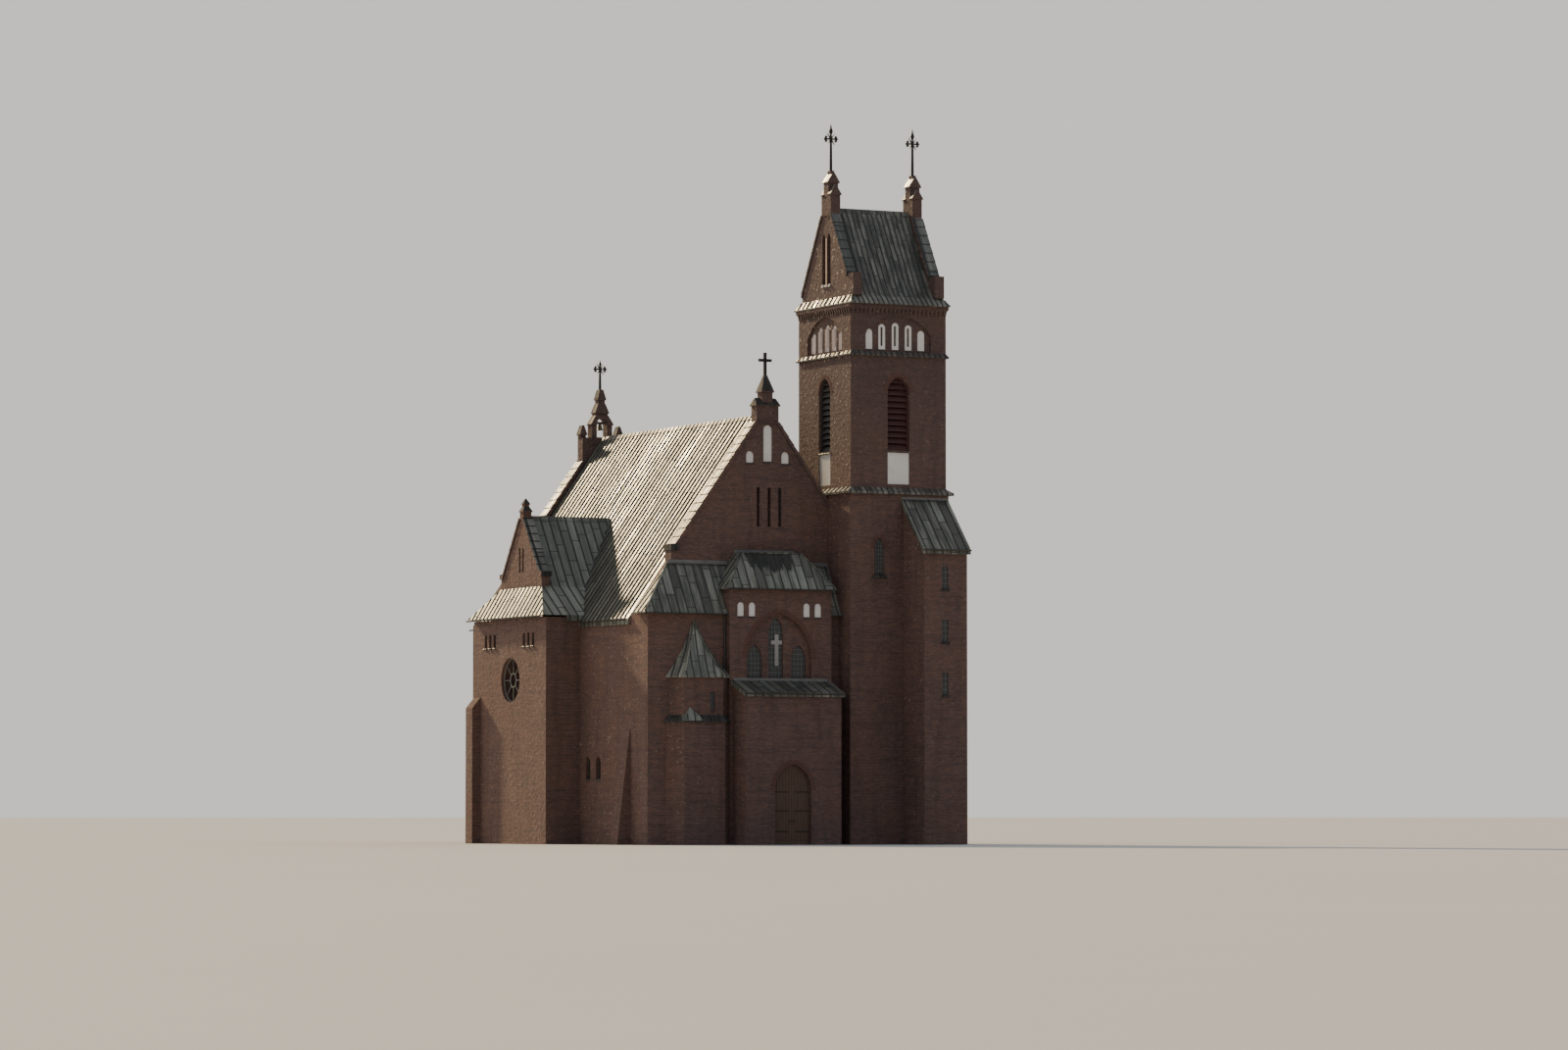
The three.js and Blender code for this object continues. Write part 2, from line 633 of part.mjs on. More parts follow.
function makeRearGable() {
  const coping = naveCoping(REAR_COPING, BELLCOTE.half);
  const wall = alongY(gableOutline(coping), NAVE.back, NAVE.end);
  const chancelArch = arch(NAVE.mid, CHANCEL_ARCH.half, -1, CHANCEL_ARCH.spring, CHANCEL_ARCH.apex);
  piece("rear_gable_wall", wall.subtract(alongY(chancelArch, -FAR, FAR)), FINISH.brick);
  const strip = alongY(coping.points, NAVE.back - COPING.proud, NAVE.end + COPING.proud);
  const roofBelow = naveVolume(GAP).intersect(block(-FAR, FAR, -FAR, NAVE.back + 1, -FAR, FAR));
  piece("rear_gable_coping", strip.subtract(roofBelow), FINISH.copper);
  makeBellcote(coping.flat);
}

// Two small capped blocks beside three tiers of caps over an arch that holds the bell.
function makeBellcote(foot) {
  const { y, half, base, flank } = BELLCOTE;
  const box = (mid, x, deep, z0, z1) => block(mid - x, mid + x, y - deep, y + deep, z0, z1);
  const cap = (mid, x, deep, inner, z0, z1) => {
    const square = (a, b, z) => rectangle(mid - a, mid + a, y - b, y + b, z);
    const eave = (z) => square(x + 60, deep + 60, z);
    return hull([...eave(z0), ...eave(z0 + 50), ...square(inner, deep, z1)]);
  };
  const solids = [
    box(NAVE.mid, half, 330, foot, base),
    box(NAVE.mid, 640, 300, base - 10, 23900),
    cap(NAVE.mid, 640, 300, 400, 23890, 24440),
    box(NAVE.mid, 380, 260, 24000, 24560),
    cap(NAVE.mid, 380, 260, 230, 24550, 25120),
    box(NAVE.mid, 210, 220, 24800, 25330),
    cap(NAVE.mid, 210, 220, 110, 25320, 25930),
  ];
  for (const mid of [NAVE.mid - flank, NAVE.mid + flank]) {
    solids.push(box(mid, 170, 200, base - 10, 23300), cap(mid, 170, 200, 60, 23290, 23850));
  }
  const body = joined(solids);
  const { radius, clear, reach, sides } = JOURNAL;
  const socketLength = 2 * (reach + 5);
  const socket = rod([NAVE.mid, y, BELL.pivot], radius + clear, socketLength, "x", sides);
  piece("rear_bellcote", cut(body, [bellcoteOpening(), socket]), FINISH.brick);
  piece("rear_cross", ironCross(NAVE.mid, y, REAR_CROSS), FINISH.iron);
  makeBell(y);
}

// A bronze bell on an oak yoke whose iron journals turn in the bellcote's sides.
function makeBell(y) {
  const { pivot, radius, high } = BELL;
  const crown = pivot - 60;
  const thick = 22;
  const profile = [
    [0, crown],
    [radius * 0.45, crown - 12],
    [radius * 0.56, crown - high * 0.3],
    [radius * 0.7, crown - high * 0.72],
    [radius, crown - high],
    [radius - thick, crown - high],
    [radius * 0.7 - thick, crown - high * 0.7],
    [radius * 0.56 - thick, crown - high * 0.32],
    [radius * 0.4 - thick, crown - thick * 2],
    [0, crown - thick * 2],
  ].reverse();
  const lathe = new THREE.LatheGeometry(profile.map(([a, b]) => new THREE.Vector2(a, b)), 20);
  piece("bell", solidOf(lathe.rotateX(Math.PI / 2).translate(NAVE.mid, y, 0)), FINISH.bronze);
  const yoke = joined([
    block(NAVE.mid - 230, NAVE.mid + 230, y - 45, y + 45, crown, pivot + 60),
    rod([NAVE.mid, y, pivot], JOURNAL.radius, 2 * JOURNAL.reach, "x", JOURNAL.sides),
  ]);
  piece("bell_yoke", yoke, FINISH.wood);
}

// One side wall with a wide arch into the transept and two low windows.
function naveSideWall(start) {
  const { left, wall, back } = NAVE;
  const under = (x) => naveRoofLine(x) - NAVE_ROOF_THICK - GAP;
  const outline = [[left, 0], [left + wall, 0], [left + wall, under(left + wall)], [left, under(left)]];
  const inner = left + wall + 1;
  const crossing = arch(ARM.mid, CROSSING.half, -1, CROSSING.spring, CROSSING.apex);
  const openings = [alongX(crossing, -FAR, inner)];
  for (const y of [7300, 8600]) {
    openings.push(alongX(arch(y, 300, 3500, 4350, 4750, 5), left - 1, inner));
  }
  return cut(alongY(outline, start, back), openings);
}

// A battered buttress at the left wall's front end.
function naveButtress() {
  const { left, inner } = NAVE;
  const foot = (out, z) => rectangle(left - out, left + 10, inner, inner + 900, z);
  return hull([...foot(800, 0), ...foot(60, 6000), ...foot(0, 6200)]);
}

function makeFloor() {
  const inner = NAVE.left + NAVE.wall;
  const right = NAVE.right - NAVE.wall;
  const arm = ARM.outer + ARM.wall;
  const slab = (x0, x1, y0, y1) => block(x0, x1, y0, y1, 0, FLOOR_TOP);
  const mirrored = (x) => 2 * NAVE.mid - x;
  const floor = joined([
    slab(inner, right, NAVE.inner, NAVE.back),
    slab(NAVE.left + NARTHEX.wall, TOWER.left - TOWER.set, NARTHEX.front + NARTHEX.wall, NAVE.front),
    slab(BAY.mid - PASSAGE.half, BAY.mid + PASSAGE.half, NAVE.front - 100, NAVE.inner + 100),
    slab(arm, mirrored(arm), ARM.mid - CROSSING.half, ARM.mid + CROSSING.half),
    slab(NAVE.mid - CHANCEL_ARCH.half, NAVE.mid + CHANCEL_ARCH.half, NAVE.back - 100, CHANCEL.straight),
  ]);
  piece("church_floor", floor.subtract(towerFootprint(0)), FINISH.stone);
}

// Narthex, portal bay and porch

function bayRoofPoints(grow) {
  const { over, top, back, ridgeLeft, ridgeRight } = BAY_ROOF;
  const left = BAY.left - over - grow;
  const right = BAY.right + over + grow;
  const front = BAY.front - over - grow;
  const rear = NAVE.front + grow;
  return [
    ...rectangle(left, right, front, rear, BAY.top - grow),
    ...rectangle(left, right, front, rear, BAY.top + 90),
    ...rectangle(ridgeLeft - grow, ridgeRight + grow, back - grow, rear, top + grow),
  ];
}

function makeNarthex() {
  const { front, wall, top, eave, edge, thick } = NARTHEX;
  const limit = TOWER.left - TOWER.set;
  const wallTop = 12240;
  const longWall = [[NAVE.left, front], [BAY.left, front], [BAY.left, front + wall]];
  const inner = NAVE.left + wall;
  const corner = [[inner, front + wall], [inner, NAVE.front], [NAVE.left, NAVE.front]];
  piece("narthex_wall", upward([...longWall, ...corner], 0, wallTop), FINISH.brick);

  const over = NAVE.left - 300;
  const points = [
    ...rectangle(over, limit - GAP, edge, NAVE.front, eave),
    ...rectangle(over, limit - GAP, edge, NAVE.front, eave + 90),
    [-9750, NAVE.front, top],
    [limit - GAP, NAVE.front, top],
  ];
  const bayRoom = block(BAY.left - GAP, BAY.right + GAP, -FAR, FAR, -FAR, BAY.top);
  const body = cut(shell(points, thick), [bayRoom, hull(bayRoofPoints(GAP))]);
  const rightHalf = block(BAY.mid, FAR, -FAR, FAR, -FAR, FAR);
  piece("narthex_roof", body.subtract(rightHalf), FINISH.copper);
  piece("narthex_corner_roof", body.intersect(rightHalf), FINISH.copper);
}

function makePortalBay() {
  const { left, right, front, deep, top } = BAY;
  const limit = TOWER.left - TOWER.set;
  const cheek = (x0, x1) => block(x0, x1, front + deep - 1, NAVE.front, 11900, top);
  const body = joined([
    block(left, right, front, front + deep, 0, top),
    block(right - 1, limit, NARTHEX.front, NARTHEX.front + NARTHEX.wall, 0, 12240),
    cheek(left, left + 500),
    cheek(right - 500, right),
  ]);
  const portal = arch(PORTAL.mid, PORTAL.half, PORTAL.foot, PORTAL.spring, PORTAL.apex);
  const cutters = [alongY(portal, -FAR, front + PORTAL.deep)];
  for (const { mid, half, spring, apex } of PORTAL_WINDOWS) {
    cutters.push(alongY(arch(mid, half, PORTAL.foot, spring, apex, 6), -FAR, FAR));
  }
  for (const x of BAY_NICHES) {
    cutters.push(alongY(arch(x, 200, 12160, 12720, 12920, 4), -FAR, front + 120));
  }
  const doorway = arch(BAY.mid, PORCH_DOOR.half, -1, PORCH_DOOR.spring, PORCH_DOOR.apex, 6);
  cutters.push(alongY(doorway, -FAR, FAR));
  piece("portal_bay_wall", cut(body, cutters), FINISH.brick);
  piece("portal_bay_roof", shell(bayRoofPoints(0), 280), FINISH.copper);
  const inner = front + deep;
  piece("portal_glass", block(-6000, -2000, inner, inner + 30, 8700, 12400), FINISH.glass);
}

function makePorch() {
  const { left, right, front, wall, top, eave } = PORCH;
  const { half, spring, apex, thick } = PORCH_DOOR;
  const slope = (top - eave) / (BAY.front - front + 100);
  const line = (y) => top - (BAY.front - y) * slope;
  const edge = front - 150;
  const deep = 220;
  const under = (y) => line(y) - deep - GAP;
  const outline = [[front, 0], [BAY.front, 0], [BAY.front, under(BAY.front)], [front, under(front)]];
  const inside = block(left + wall, right - wall, front + wall, FAR, -1, FAR);
  const doorway = alongY(arch(BAY.mid, half, -1, spring, apex, 6), -FAR, FAR);
  piece("porch_walls", cut(alongX(outline, left, right), [inside, doorway]), FINISH.brick);
  const band = [[edge, line(edge) - deep], [BAY.front, line(BAY.front) - deep]];
  band.push([BAY.front, line(BAY.front)], [edge, line(edge)]);
  piece("porch_roof", alongX(band, left - 150, right + 150), FINISH.copper);
  const doors = arch(BAY.mid, half - GAP, 0, spring, apex - GAP, 6);
  const face = front + PORCH_DOOR.set;
  piece("porch_doors", alongY(doors, face, face + thick), FINISH.wood);
}

// Canted bay left of the portal

function cantOutline(out, limit = BAY.left - GAP) {
  const { wallLeft, left, right, front } = CANT;
  const lift = out * 0.41;
  const chamferEnd = NARTHEX.front;
  const rise = limit - (right + lift);
  return [
    [wallLeft - out * 1.41, chamferEnd],
    [left - lift, front - out],
    [right + lift, front - out],
    [limit, front - out + rise],
    [limit, chamferEnd],
  ];
}

function makeCantedBay() {
  const { eave, ledge, peak, peakX, foot, wall } = CANT;
  const inner = cantOutline(-wall, BAY.left - wall);
  const body = upward(cantOutline(foot), 0, ledge).add(upward(cantOutline(0), ledge - 1, eave));
  const slot = block(-8240, -7960, -FAR, NARTHEX.front - 1, 7100, 8100);
  piece("canted_bay_walls", cut(body, [upward(inner, -1, FAR), slot]), FINISH.brick);

  const at = (outline, z) => outline.map(([x, y]) => [x, y, z]);
  const edge = cantOutline(foot + 120);
  const skirt = hull([...at(edge, ledge), ...at(edge, ledge + 60), ...at(cantOutline(0), ledge + 380)]);
  piece("canted_bay_ledge", skirt.subtract(upward(cantOutline(GAP), 0, FAR)), FINISH.copper);

  const scaled = (factor, z) =>
    cantOutline(150).map(([x, y]) => {
      const deep = NARTHEX.front - GAP;
      return [peakX + (x - peakX) * factor, deep + (Math.min(y, deep) - deep) * factor, z];
    });
  const tiers = [
    [...scaled(1, eave), ...scaled(1, eave + 70), ...scaled(0.74, eave + 620)],
    [...scaled(0.74, eave + 620), ...scaled(0.36, eave + 1650)],
    [...scaled(0.36, eave + 1650), [peakX, NARTHEX.front - GAP, peak]],
  ];
  const under = [...scaled(0.8, eave - 1), ...scaled(0.5, eave + 620), ...scaled(0.2, eave + 1650)];
  piece("canted_bay_roof", joined(tiers.map(hull)).subtract(hull(under)), FINISH.copper);
}

// Transept arm, drawn on the left and mirrored for the right

function armWalls() {
  const { outer, front, back, wall, side, top, mid } = ARM;
  const inner = block(outer + wall, FAR, front + side, back - side, -1, FAR);
  const body = block(outer, NAVE.left - GAP, front, back, 0, top).subtract(inner);
  const openings = [alongX(circle(mid - 100, ROSE.z, ROSE.radius), outer - 1, outer + wall + 1)];
  for (const group of [11900, 17000]) {
    for (const step of [-600, 0, 600]) {
      const y = group + step;
      openings.push(block(outer - 1, outer + wall + 1, y - 150, y + 150, 10800, 11500));
    }
  }
  const buttress = hull([
    ...rectangle(outer - 500, outer + 10, back - 900, back, 0),
    ...rectangle(outer - 500, outer + 10, back - 900, back, 7500),
    ...rectangle(outer - 10, outer + 10, back - 900, back, 8100),
  ]);
  const eave = NAVE.left - NAVE_EAVE - GAP;
  const eaveFoot = naveRoofLine(NAVE.left - NAVE_EAVE) - NAVE_ROOF_THICK - GAP;
  openings.push(block(eave, FAR, -FAR, FAR, eaveFoot, FAR));
  return cut(body, openings).add(buttress);
}

function armCoping() {
  const { kneeler, apex } = ARM_GABLE;
  const foot = kneeler - 300;
  const shape = { mid: ARM.mid, run: ARM_ROOF.kneeHalf - 260, foot, apex, thick: 220, seat: 260 };
  return copingOutline({ ...shape, foots: 330 });
}

function armGable(coping) {
  const { outer, thick, kneeler } = ARM_GABLE;
  const run = ARM_ROOF.kneeHalf;
  const foot = kneeler - 300;
  const half = [[run, ARM.top], [run, foot], [run - 260, foot], [coping.seatHalf, coping.seatFoot]];
  const outline = [...half, ...half.slice().reverse().map(([a, b]) => [-a, b])];
  const wall = alongX(outline.map(([a, b]) => [a + ARM.mid, b]), outer, outer + thick);
  const slots = [-220, 220].map((y) => alongX(arch(ARM.mid + y, 100, 14900, 16150, 16300, 3), -FAR, FAR));
  return cut(wall, slots);
}

function armRoof() {
  const { ridge, knee, kneeHalf, eaveHalf, eave, thick, edge } = ARM_ROOF;
  const gableBack = ARM_GABLE.outer + ARM_GABLE.thick;
  const slopes = [[-eaveHalf, eave], [-kneeHalf, knee], [0, ridge], [kneeHalf, knee], [eaveHalf, eave]];
  const lowered = slopes.slice().reverse().map(([a, b]) => [a, b - thick]);
  const section = [...slopes, ...lowered].map(([a, b]) => [a + ARM.mid, b]);
  const main = alongX(section.reverse(), gableBack, -7400);
  const reach = gableBack + 100;
  const skirt = [
    ...rectangle(edge, reach, ARM.mid - eaveHalf, ARM.mid + eaveHalf, eave),
    ...rectangle(ARM_GABLE.outer, reach, ARM.mid - kneeHalf, ARM.mid + kneeHalf, knee),
  ];
  const under = hull(skirt.map(([x, y, z]) => [x, y, z - thick]));
  const gableRoom = block(
    ARM_GABLE.outer - GAP,
    reach + 1,
    ARM.mid - kneeHalf - GAP,
    ARM.mid + kneeHalf + GAP,
    ARM.top - 500,
    FAR,
  );
  const wallRoom = block(ARM.outer - GAP, FAR, ARM.front - GAP, ARM.back + GAP, -FAR, ARM.top + GAP);
  return cut(cut(hull(skirt), [under, gableRoom]).add(main), [naveVolume(0.5), wallRoom]);
}

function armCopingWithPinnacle(coping) {
  const { outer, thick } = ARM_GABLE;
  const strip = alongX(coping.points, outer - COPING.proud, outer + thick + COPING.proud);
  const x = outer + thick / 2;
  const square = (half, z) => {
    return rectangle(x - half, x + half, ARM.mid - half, ARM.mid + half, coping.flat + z);
  };
  const pinnacle = joined([
    hull([...square(240, -5), ...square(240, 330)]),
    hull([...square(290, 320), ...square(290, 370), ...square(150, 620)]),
    hull([...square(150, 500), ...square(150, 760)]),
    hull([...square(190, 740), ...square(190, 780), ...square(20, 1080)]),
  ]);
  return strip.add(pinnacle).subtract(armRoofVolume());
}

// The steep part of the transept roof as a full prism, to cut the coping where it overhangs.
function armRoofVolume() {
  const { ridge, knee, kneeHalf } = ARM_ROOF;
  const section = [[-kneeHalf, -FAR], [kneeHalf, -FAR], [kneeHalf, knee + GAP], [0, ridge + GAP]];
  section.push([-kneeHalf, knee + GAP]);
  const moved = section.map(([a, b]) => [a + ARM.mid, b]);
  return alongX(moved, ARM_GABLE.outer + ARM_GABLE.thick - 1, FAR);
}

function makeTransept(side, parent) {
  piece(`${side}_transept_walls`, armWalls(), FINISH.brick, parent);
  piece(`${side}_transept_roof`, armRoof(), FINISH.copper, parent);
  const coping = armCoping();
  piece(`${side}_transept_gable`, armGable(coping), FINISH.brick, parent);
  piece(`${side}_transept_coping`, armCopingWithPinnacle(coping), FINISH.copper, parent);
  const inner = ARM.outer + ARM.wall;
  const glass = block(inner, inner + 30, ARM.mid - 3500, ARM.mid + 3500, 7600, 11700);
  piece(`${side}_transept_glass`, glass, FINISH.glass, parent);
}

// Chancel

function chancelOutline(out) {
  const { half, straight, end, nook } = CHANCEL;
  const right = [[half + out, NAVE.end], [half + out, straight + out * 0.4], [nook + out * 0.4, end + out]];
  const left = right.slice().reverse().map(([x, y]) => [-x, y]);
  return [...right, ...left].map(([x, y]) => [x + NAVE.mid, y]);
}

function makeChancel() {
  const { wall, top, ridge, ridgeEnd, over, half, end } = CHANCEL;
  const inner = chancelOutline(-wall).map(([x, y]) => [x, y === NAVE.end ? y - 1 : y]);
  const walls = upward(chancelOutline(0), 0, top).subtract(upward(inner, -1, FAR));
  const openings = [25600, 27900].map((y) => alongX(arch(y, 400, 4200, 7400, 8100, 5), -FAR, FAR));
  openings.push(alongY(arch(NAVE.mid, 400, 4200, 7400, 8100, 5), end - wall - 100, FAR));
  piece("chancel_walls", cut(walls, openings), FINISH.brick);
  const eaves = chancelOutline(over);
  const at = (z) => eaves.map(([x, y]) => [x, y, z]);
  const points = [...at(top), ...at(top + 90), [NAVE.mid, NAVE.end, ridge], [NAVE.mid, ridgeEnd, ridge]];
  piece("chancel_roof", shell(points, 320), FINISH.copper);
}

makeTower();
makeAnnex();
makeFrontGable();
makeRearGable();
makeNaveRoof();
makeFloor();
piece("nave_left_wall", naveSideWall(NAVE.inner).add(naveButtress()), FINISH.brick);
makeNarthex();
makePortalBay();
makePorch();
makeCantedBay();
makeTransept("left", church);
makeChancel();

const mirrored = new THREE.Group();
mirrored.scale.x = -1;
mirrored.position.x = 2 * NAVE.mid;
church.add(mirrored);
const behindTower = TOWER.back + TOWER.set + GAP;
piece("nave_right_wall", naveSideWall(behindTower), FINISH.brick, mirrored);
makeTransept("right", mirrored);

// The origin is on the ground, under the middle of the whole building.
const bounds = new THREE.Box3().setFromObject(church);
const middle = bounds.getCenter(new THREE.Vector3());
church.position.set(-middle.x, -middle.y, -bounds.min.z);

export default church;
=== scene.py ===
# %% [markdown]
# # A brick church with copper roofs
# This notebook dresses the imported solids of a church: walls of dark brick, roofs of weathered
# copper, white niches, iron crosses and leaded windows. The solids stay where they are, and
# every new piece is laid on them. Lengths are metres, +X runs along the front, +Y back along
# the nave and +Z up.

import json
import math
from types import SimpleNamespace

import bpy
from mathutils import Matrix, Vector

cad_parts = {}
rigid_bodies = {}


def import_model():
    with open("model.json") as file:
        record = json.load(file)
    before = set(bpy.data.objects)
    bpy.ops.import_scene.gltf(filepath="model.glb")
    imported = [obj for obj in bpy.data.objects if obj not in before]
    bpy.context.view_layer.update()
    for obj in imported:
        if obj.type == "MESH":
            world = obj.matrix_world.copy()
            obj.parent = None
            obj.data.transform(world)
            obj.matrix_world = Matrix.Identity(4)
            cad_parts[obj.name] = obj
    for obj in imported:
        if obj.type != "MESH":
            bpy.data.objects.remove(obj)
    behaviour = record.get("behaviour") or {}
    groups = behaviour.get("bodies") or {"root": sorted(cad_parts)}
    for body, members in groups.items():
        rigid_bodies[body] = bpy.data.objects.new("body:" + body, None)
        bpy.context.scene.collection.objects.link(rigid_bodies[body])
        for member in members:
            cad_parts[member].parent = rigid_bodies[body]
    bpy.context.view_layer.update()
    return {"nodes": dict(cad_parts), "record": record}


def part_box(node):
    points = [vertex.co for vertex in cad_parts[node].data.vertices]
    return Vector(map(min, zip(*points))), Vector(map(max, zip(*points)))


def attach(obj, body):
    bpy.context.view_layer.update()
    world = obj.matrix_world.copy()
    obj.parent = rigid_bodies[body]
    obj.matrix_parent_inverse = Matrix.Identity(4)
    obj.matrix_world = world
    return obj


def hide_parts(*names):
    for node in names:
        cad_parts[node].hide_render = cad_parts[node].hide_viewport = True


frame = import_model()
nodes = frame["nodes"]

# %% [markdown]
# The drawings of this church measure from the foot of the tower's front left corner, and the
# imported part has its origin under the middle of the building. One shift turns the first into
# the second, so that a number from the drawings can be typed in as it is.

# %% Places on the building
ORIGIN_SHIFT = Vector((3.8, -15.275, 0))
NAVE_MID = -3.8
NAVE_RIDGE = 23.15
NAVE_SLOPE = 1.407
NAVE_FRONT = 2.5
NAVE_BACK = 24.0
ARM_MID = 14.4
ARM_EAVE = 12.4
ARM_KNEE = 14.05
ARM_RIDGE = 18.0
BELL_Y = 23.65
TOWER_X = (0.0, 5.84)
TOWER_Y = (0.0, 6.11)
TOWER_MID_X = 2.92
TOWER_MID_Y = 3.055


def at(x, y, z):
    """A point of the drawings, in the part's own frame."""
    return Vector((x, y, z)) + ORIGIN_SHIFT


def nave_x(z):
    """Where the left slope of the nave's roof is at a height."""
    return NAVE_MID - (NAVE_RIDGE - z) / NAVE_SLOPE


def other_side(points):
    """The same points beyond the nave's middle line."""
    return [(2 * NAVE_MID - x, y, z) for x, y, z in points]


def other_end(points, middle=ARM_MID):
    """The same points beyond a middle line from left to right, such as the transepts'."""
    return [(x, 2 * middle - y, z) for x, y, z in points]


# %% [markdown]
# ## Camera and sun
# The view is that of someone far off with a long lens, low and to the left of the front. The
# sun stands behind the church on the left, so the left slopes gleam and the front lies in soft
# shade.

# %% Camera
camera_data = bpy.data.cameras.new("camera")
camera_data.lens = 125.4
camera_data.sensor_width = 36
camera_data.clip_end = 3000
camera = bpy.data.objects.new("camera", camera_data)
camera.location = (-133.01, -274.735, 1.7)
camera.rotation_euler = (math.radians(93.015), 0, math.radians(-27.1))
bpy.context.scene.collection.objects.link(camera)
bpy.context.scene.camera = camera
print("camera at", tuple(camera.location))

# %% Sun
TO_SUN = Vector((-0.142, 0.868, 0.48))
sun_data = bpy.data.lights.new("sun", "SUN")
sun_data.energy = 3.9
sun_data.angle = math.radians(3)
sun_data.color = (1.0, 0.76, 0.44)
sun = bpy.data.objects.new("sun", sun_data)
sun.rotation_euler = TO_SUN.to_track_quat("Z", "Y").to_euler()
bpy.context.scene.collection.objects.link(sun)
print("sun from", tuple(TO_SUN))

# %% [markdown]
# ## A way to write materials
# A finish is a small sum: a colour, plus a little of one pattern, less some of another. The
# class Channel holds one socket and lets Python's own + - * / make the Math nodes, and Recipe
# adds any other node and joins its sockets. The sky has a node tree too, so a Recipe can also
# make that.


# %% Channel and Recipe
class Channel:
    """One output socket that can be used in a sum."""

    def __init__(self, recipe, socket):
        self.recipe = recipe
        self.socket = socket

    def math(self, operation, *others):
        return self.recipe.node("ShaderNodeMath", {"operation": operation}, [self, *others])

    def __add__(self, other):
        return self.math("ADD", other)

    def __sub__(self, other):
        return self.math("SUBTRACT", other)

    def __mul__(self, other):
        return self.math("MULTIPLY", other)

    def __truediv__(self, other):
        return self.math("DIVIDE", other)

    def __rsub__(self, other):
        return self.recipe.node("ShaderNodeMath", {"operation": "SUBTRACT"}, [other, self])

    def __gt__(self, other):
        return self.math("GREATER_THAN", other)

    __radd__ = __add__
    __rmul__ = __mul__

    def limited(self):
        """Kept between 0 and 1."""
        return self.recipe.node("ShaderNodeClamp", {}, [self])

    def over(self, level, steepness):
        """0 up to a level, and from there rising to 1."""
        return ((self - level) * steepness).limited()

    def outputs(self):
        """All outputs of this one's node, by name."""
        return {output.name: Channel(self.recipe, output) for output in self.socket.node.outputs}


class Recipe:
    """The nodes that make a material, or the sky."""

    def __init__(self, owner, output="ShaderNodeOutputMaterial"):
        owner.use_nodes = True
        self.owner = owner
        self.output = output
        self.tree = owner.node_tree
        self.tree.nodes.clear()

    def node(self, kind, settings, sockets, output=0):
        """Adds a node, sets it, then fills or joins its sockets, given as a list or by name."""
        made = self.tree.nodes.new(kind)
        for name, value in settings.items():
            setattr(made, name, value)
        pairs = sockets.items() if isinstance(sockets, dict) else enumerate(sockets)
        for key, value in pairs:
            if isinstance(value, Channel):
                self.tree.links.new(value.socket, made.inputs[key])
            else:
                made.inputs[key].default_value = value
        return Channel(self, made.outputs[output])

    def mix(self, share, first, second):
        """A colour between two colours."""
        settings = {"data_type": "RGBA"}
        return self.node("ShaderNodeMix", settings, {0: share, 6: first, 7: second}, 2)

    def split(self, vector):
        """The three numbers of a vector."""
        return list(self.node("ShaderNodeSeparateXYZ", {}, [vector]).outputs().values())

    def joined(self, x, y, z):
        return self.node("ShaderNodeCombineXYZ", {}, [x, y, z])

    def noise(self, vector, scale, detail=4.0, rough=0.55):
        sockets = {"Vector": vector, "Scale": scale, "Detail": detail, "Roughness": rough}
        return self.node("ShaderNodeTexNoise", {}, sockets)

    def chance(self, dimensions, **sockets):
        """A random number that stays the same for the same place."""
        return self.node("ShaderNodeTexWhiteNoise", {"noise_dimensions": dimensions}, sockets)

    def bump(self, height, strength, distance):
        sockets = {"Strength": strength, "Distance": distance, "Height": height}
        return self.node("ShaderNodeBump", {}, sockets)

    def surface(self, **sockets):
        """The shader, with a name for each socket that is set."""
        named = {key.replace("_", " ").title(): value for key, value in sockets.items()}
        return self.node("ShaderNodeBsdfPrincipled", {}, named)

    def done(self, shader):
        """Joins the shader to the output, and gives back what was made."""
        output = self.tree.nodes.new(self.output)
        self.tree.links.new(shader.socket, output.inputs["Surface"])
        return self.owner


# %% [markdown]
# ## Sky
# The sky is brighter on the sun's side. How much a direction points that way is a dot product,
# which mixes a dull and a bright colour.

# %% Sky
BRIGHT_WAY = (-0.1, 0.98, 0.1)
DULL_SKY = (0.325, 0.38, 0.46, 1)
BRIGHT_SKY = (0.84, 0.81, 0.76, 1)
bpy.context.scene.world = bpy.data.worlds.new("sky")
sky = Recipe(bpy.context.scene.world, "ShaderNodeOutputWorld")
way = sky.node("ShaderNodeTexCoord", {}, [], "Generated")
product = {"operation": "DOT_PRODUCT"}
sunward = sky.node("ShaderNodeVectorMath", product, [way, BRIGHT_WAY], "Value")
stretch = {"Value": sunward, "From Min": -0.3, "From Max": 0.75}
sky_colour = sky.mix(sky.node("ShaderNodeMapRange", {}, stretch), DULL_SKY, BRIGHT_SKY)
sky.done(sky.node("ShaderNodeBackground", {}, {"Color": sky_colour, "Strength": 1.0}))
print("sky brightest toward", BRIGHT_WAY)

# %% [markdown]
# ## Where a pattern lies
# Brick courses run level round every corner and seams run down every slope. Both need the
# distance along the surface, whichever way it faces. The facing gives a level direction in the
# surface, and the place measured along that direction is the run.


# %% Run and height
def measured(recipe):
    """The place, its x, y and height, the run along the surface, and the way it faces."""
    place = recipe.node("ShaderNodeTexCoord", {}, [], "Object")
    x, y, height = recipe.split(place)
    facing = recipe.split(recipe.node("ShaderNodeTexCoord", {}, [], "Normal"))
    nx, ny, _ = facing
    level = (nx * nx + ny * ny).math("SQRT").math("MAXIMUM", 0.02)
    run = (y * nx - x * ny) / level
    return SimpleNamespace(place=place, x=x, y=y, height=height, run=run, facing=facing)
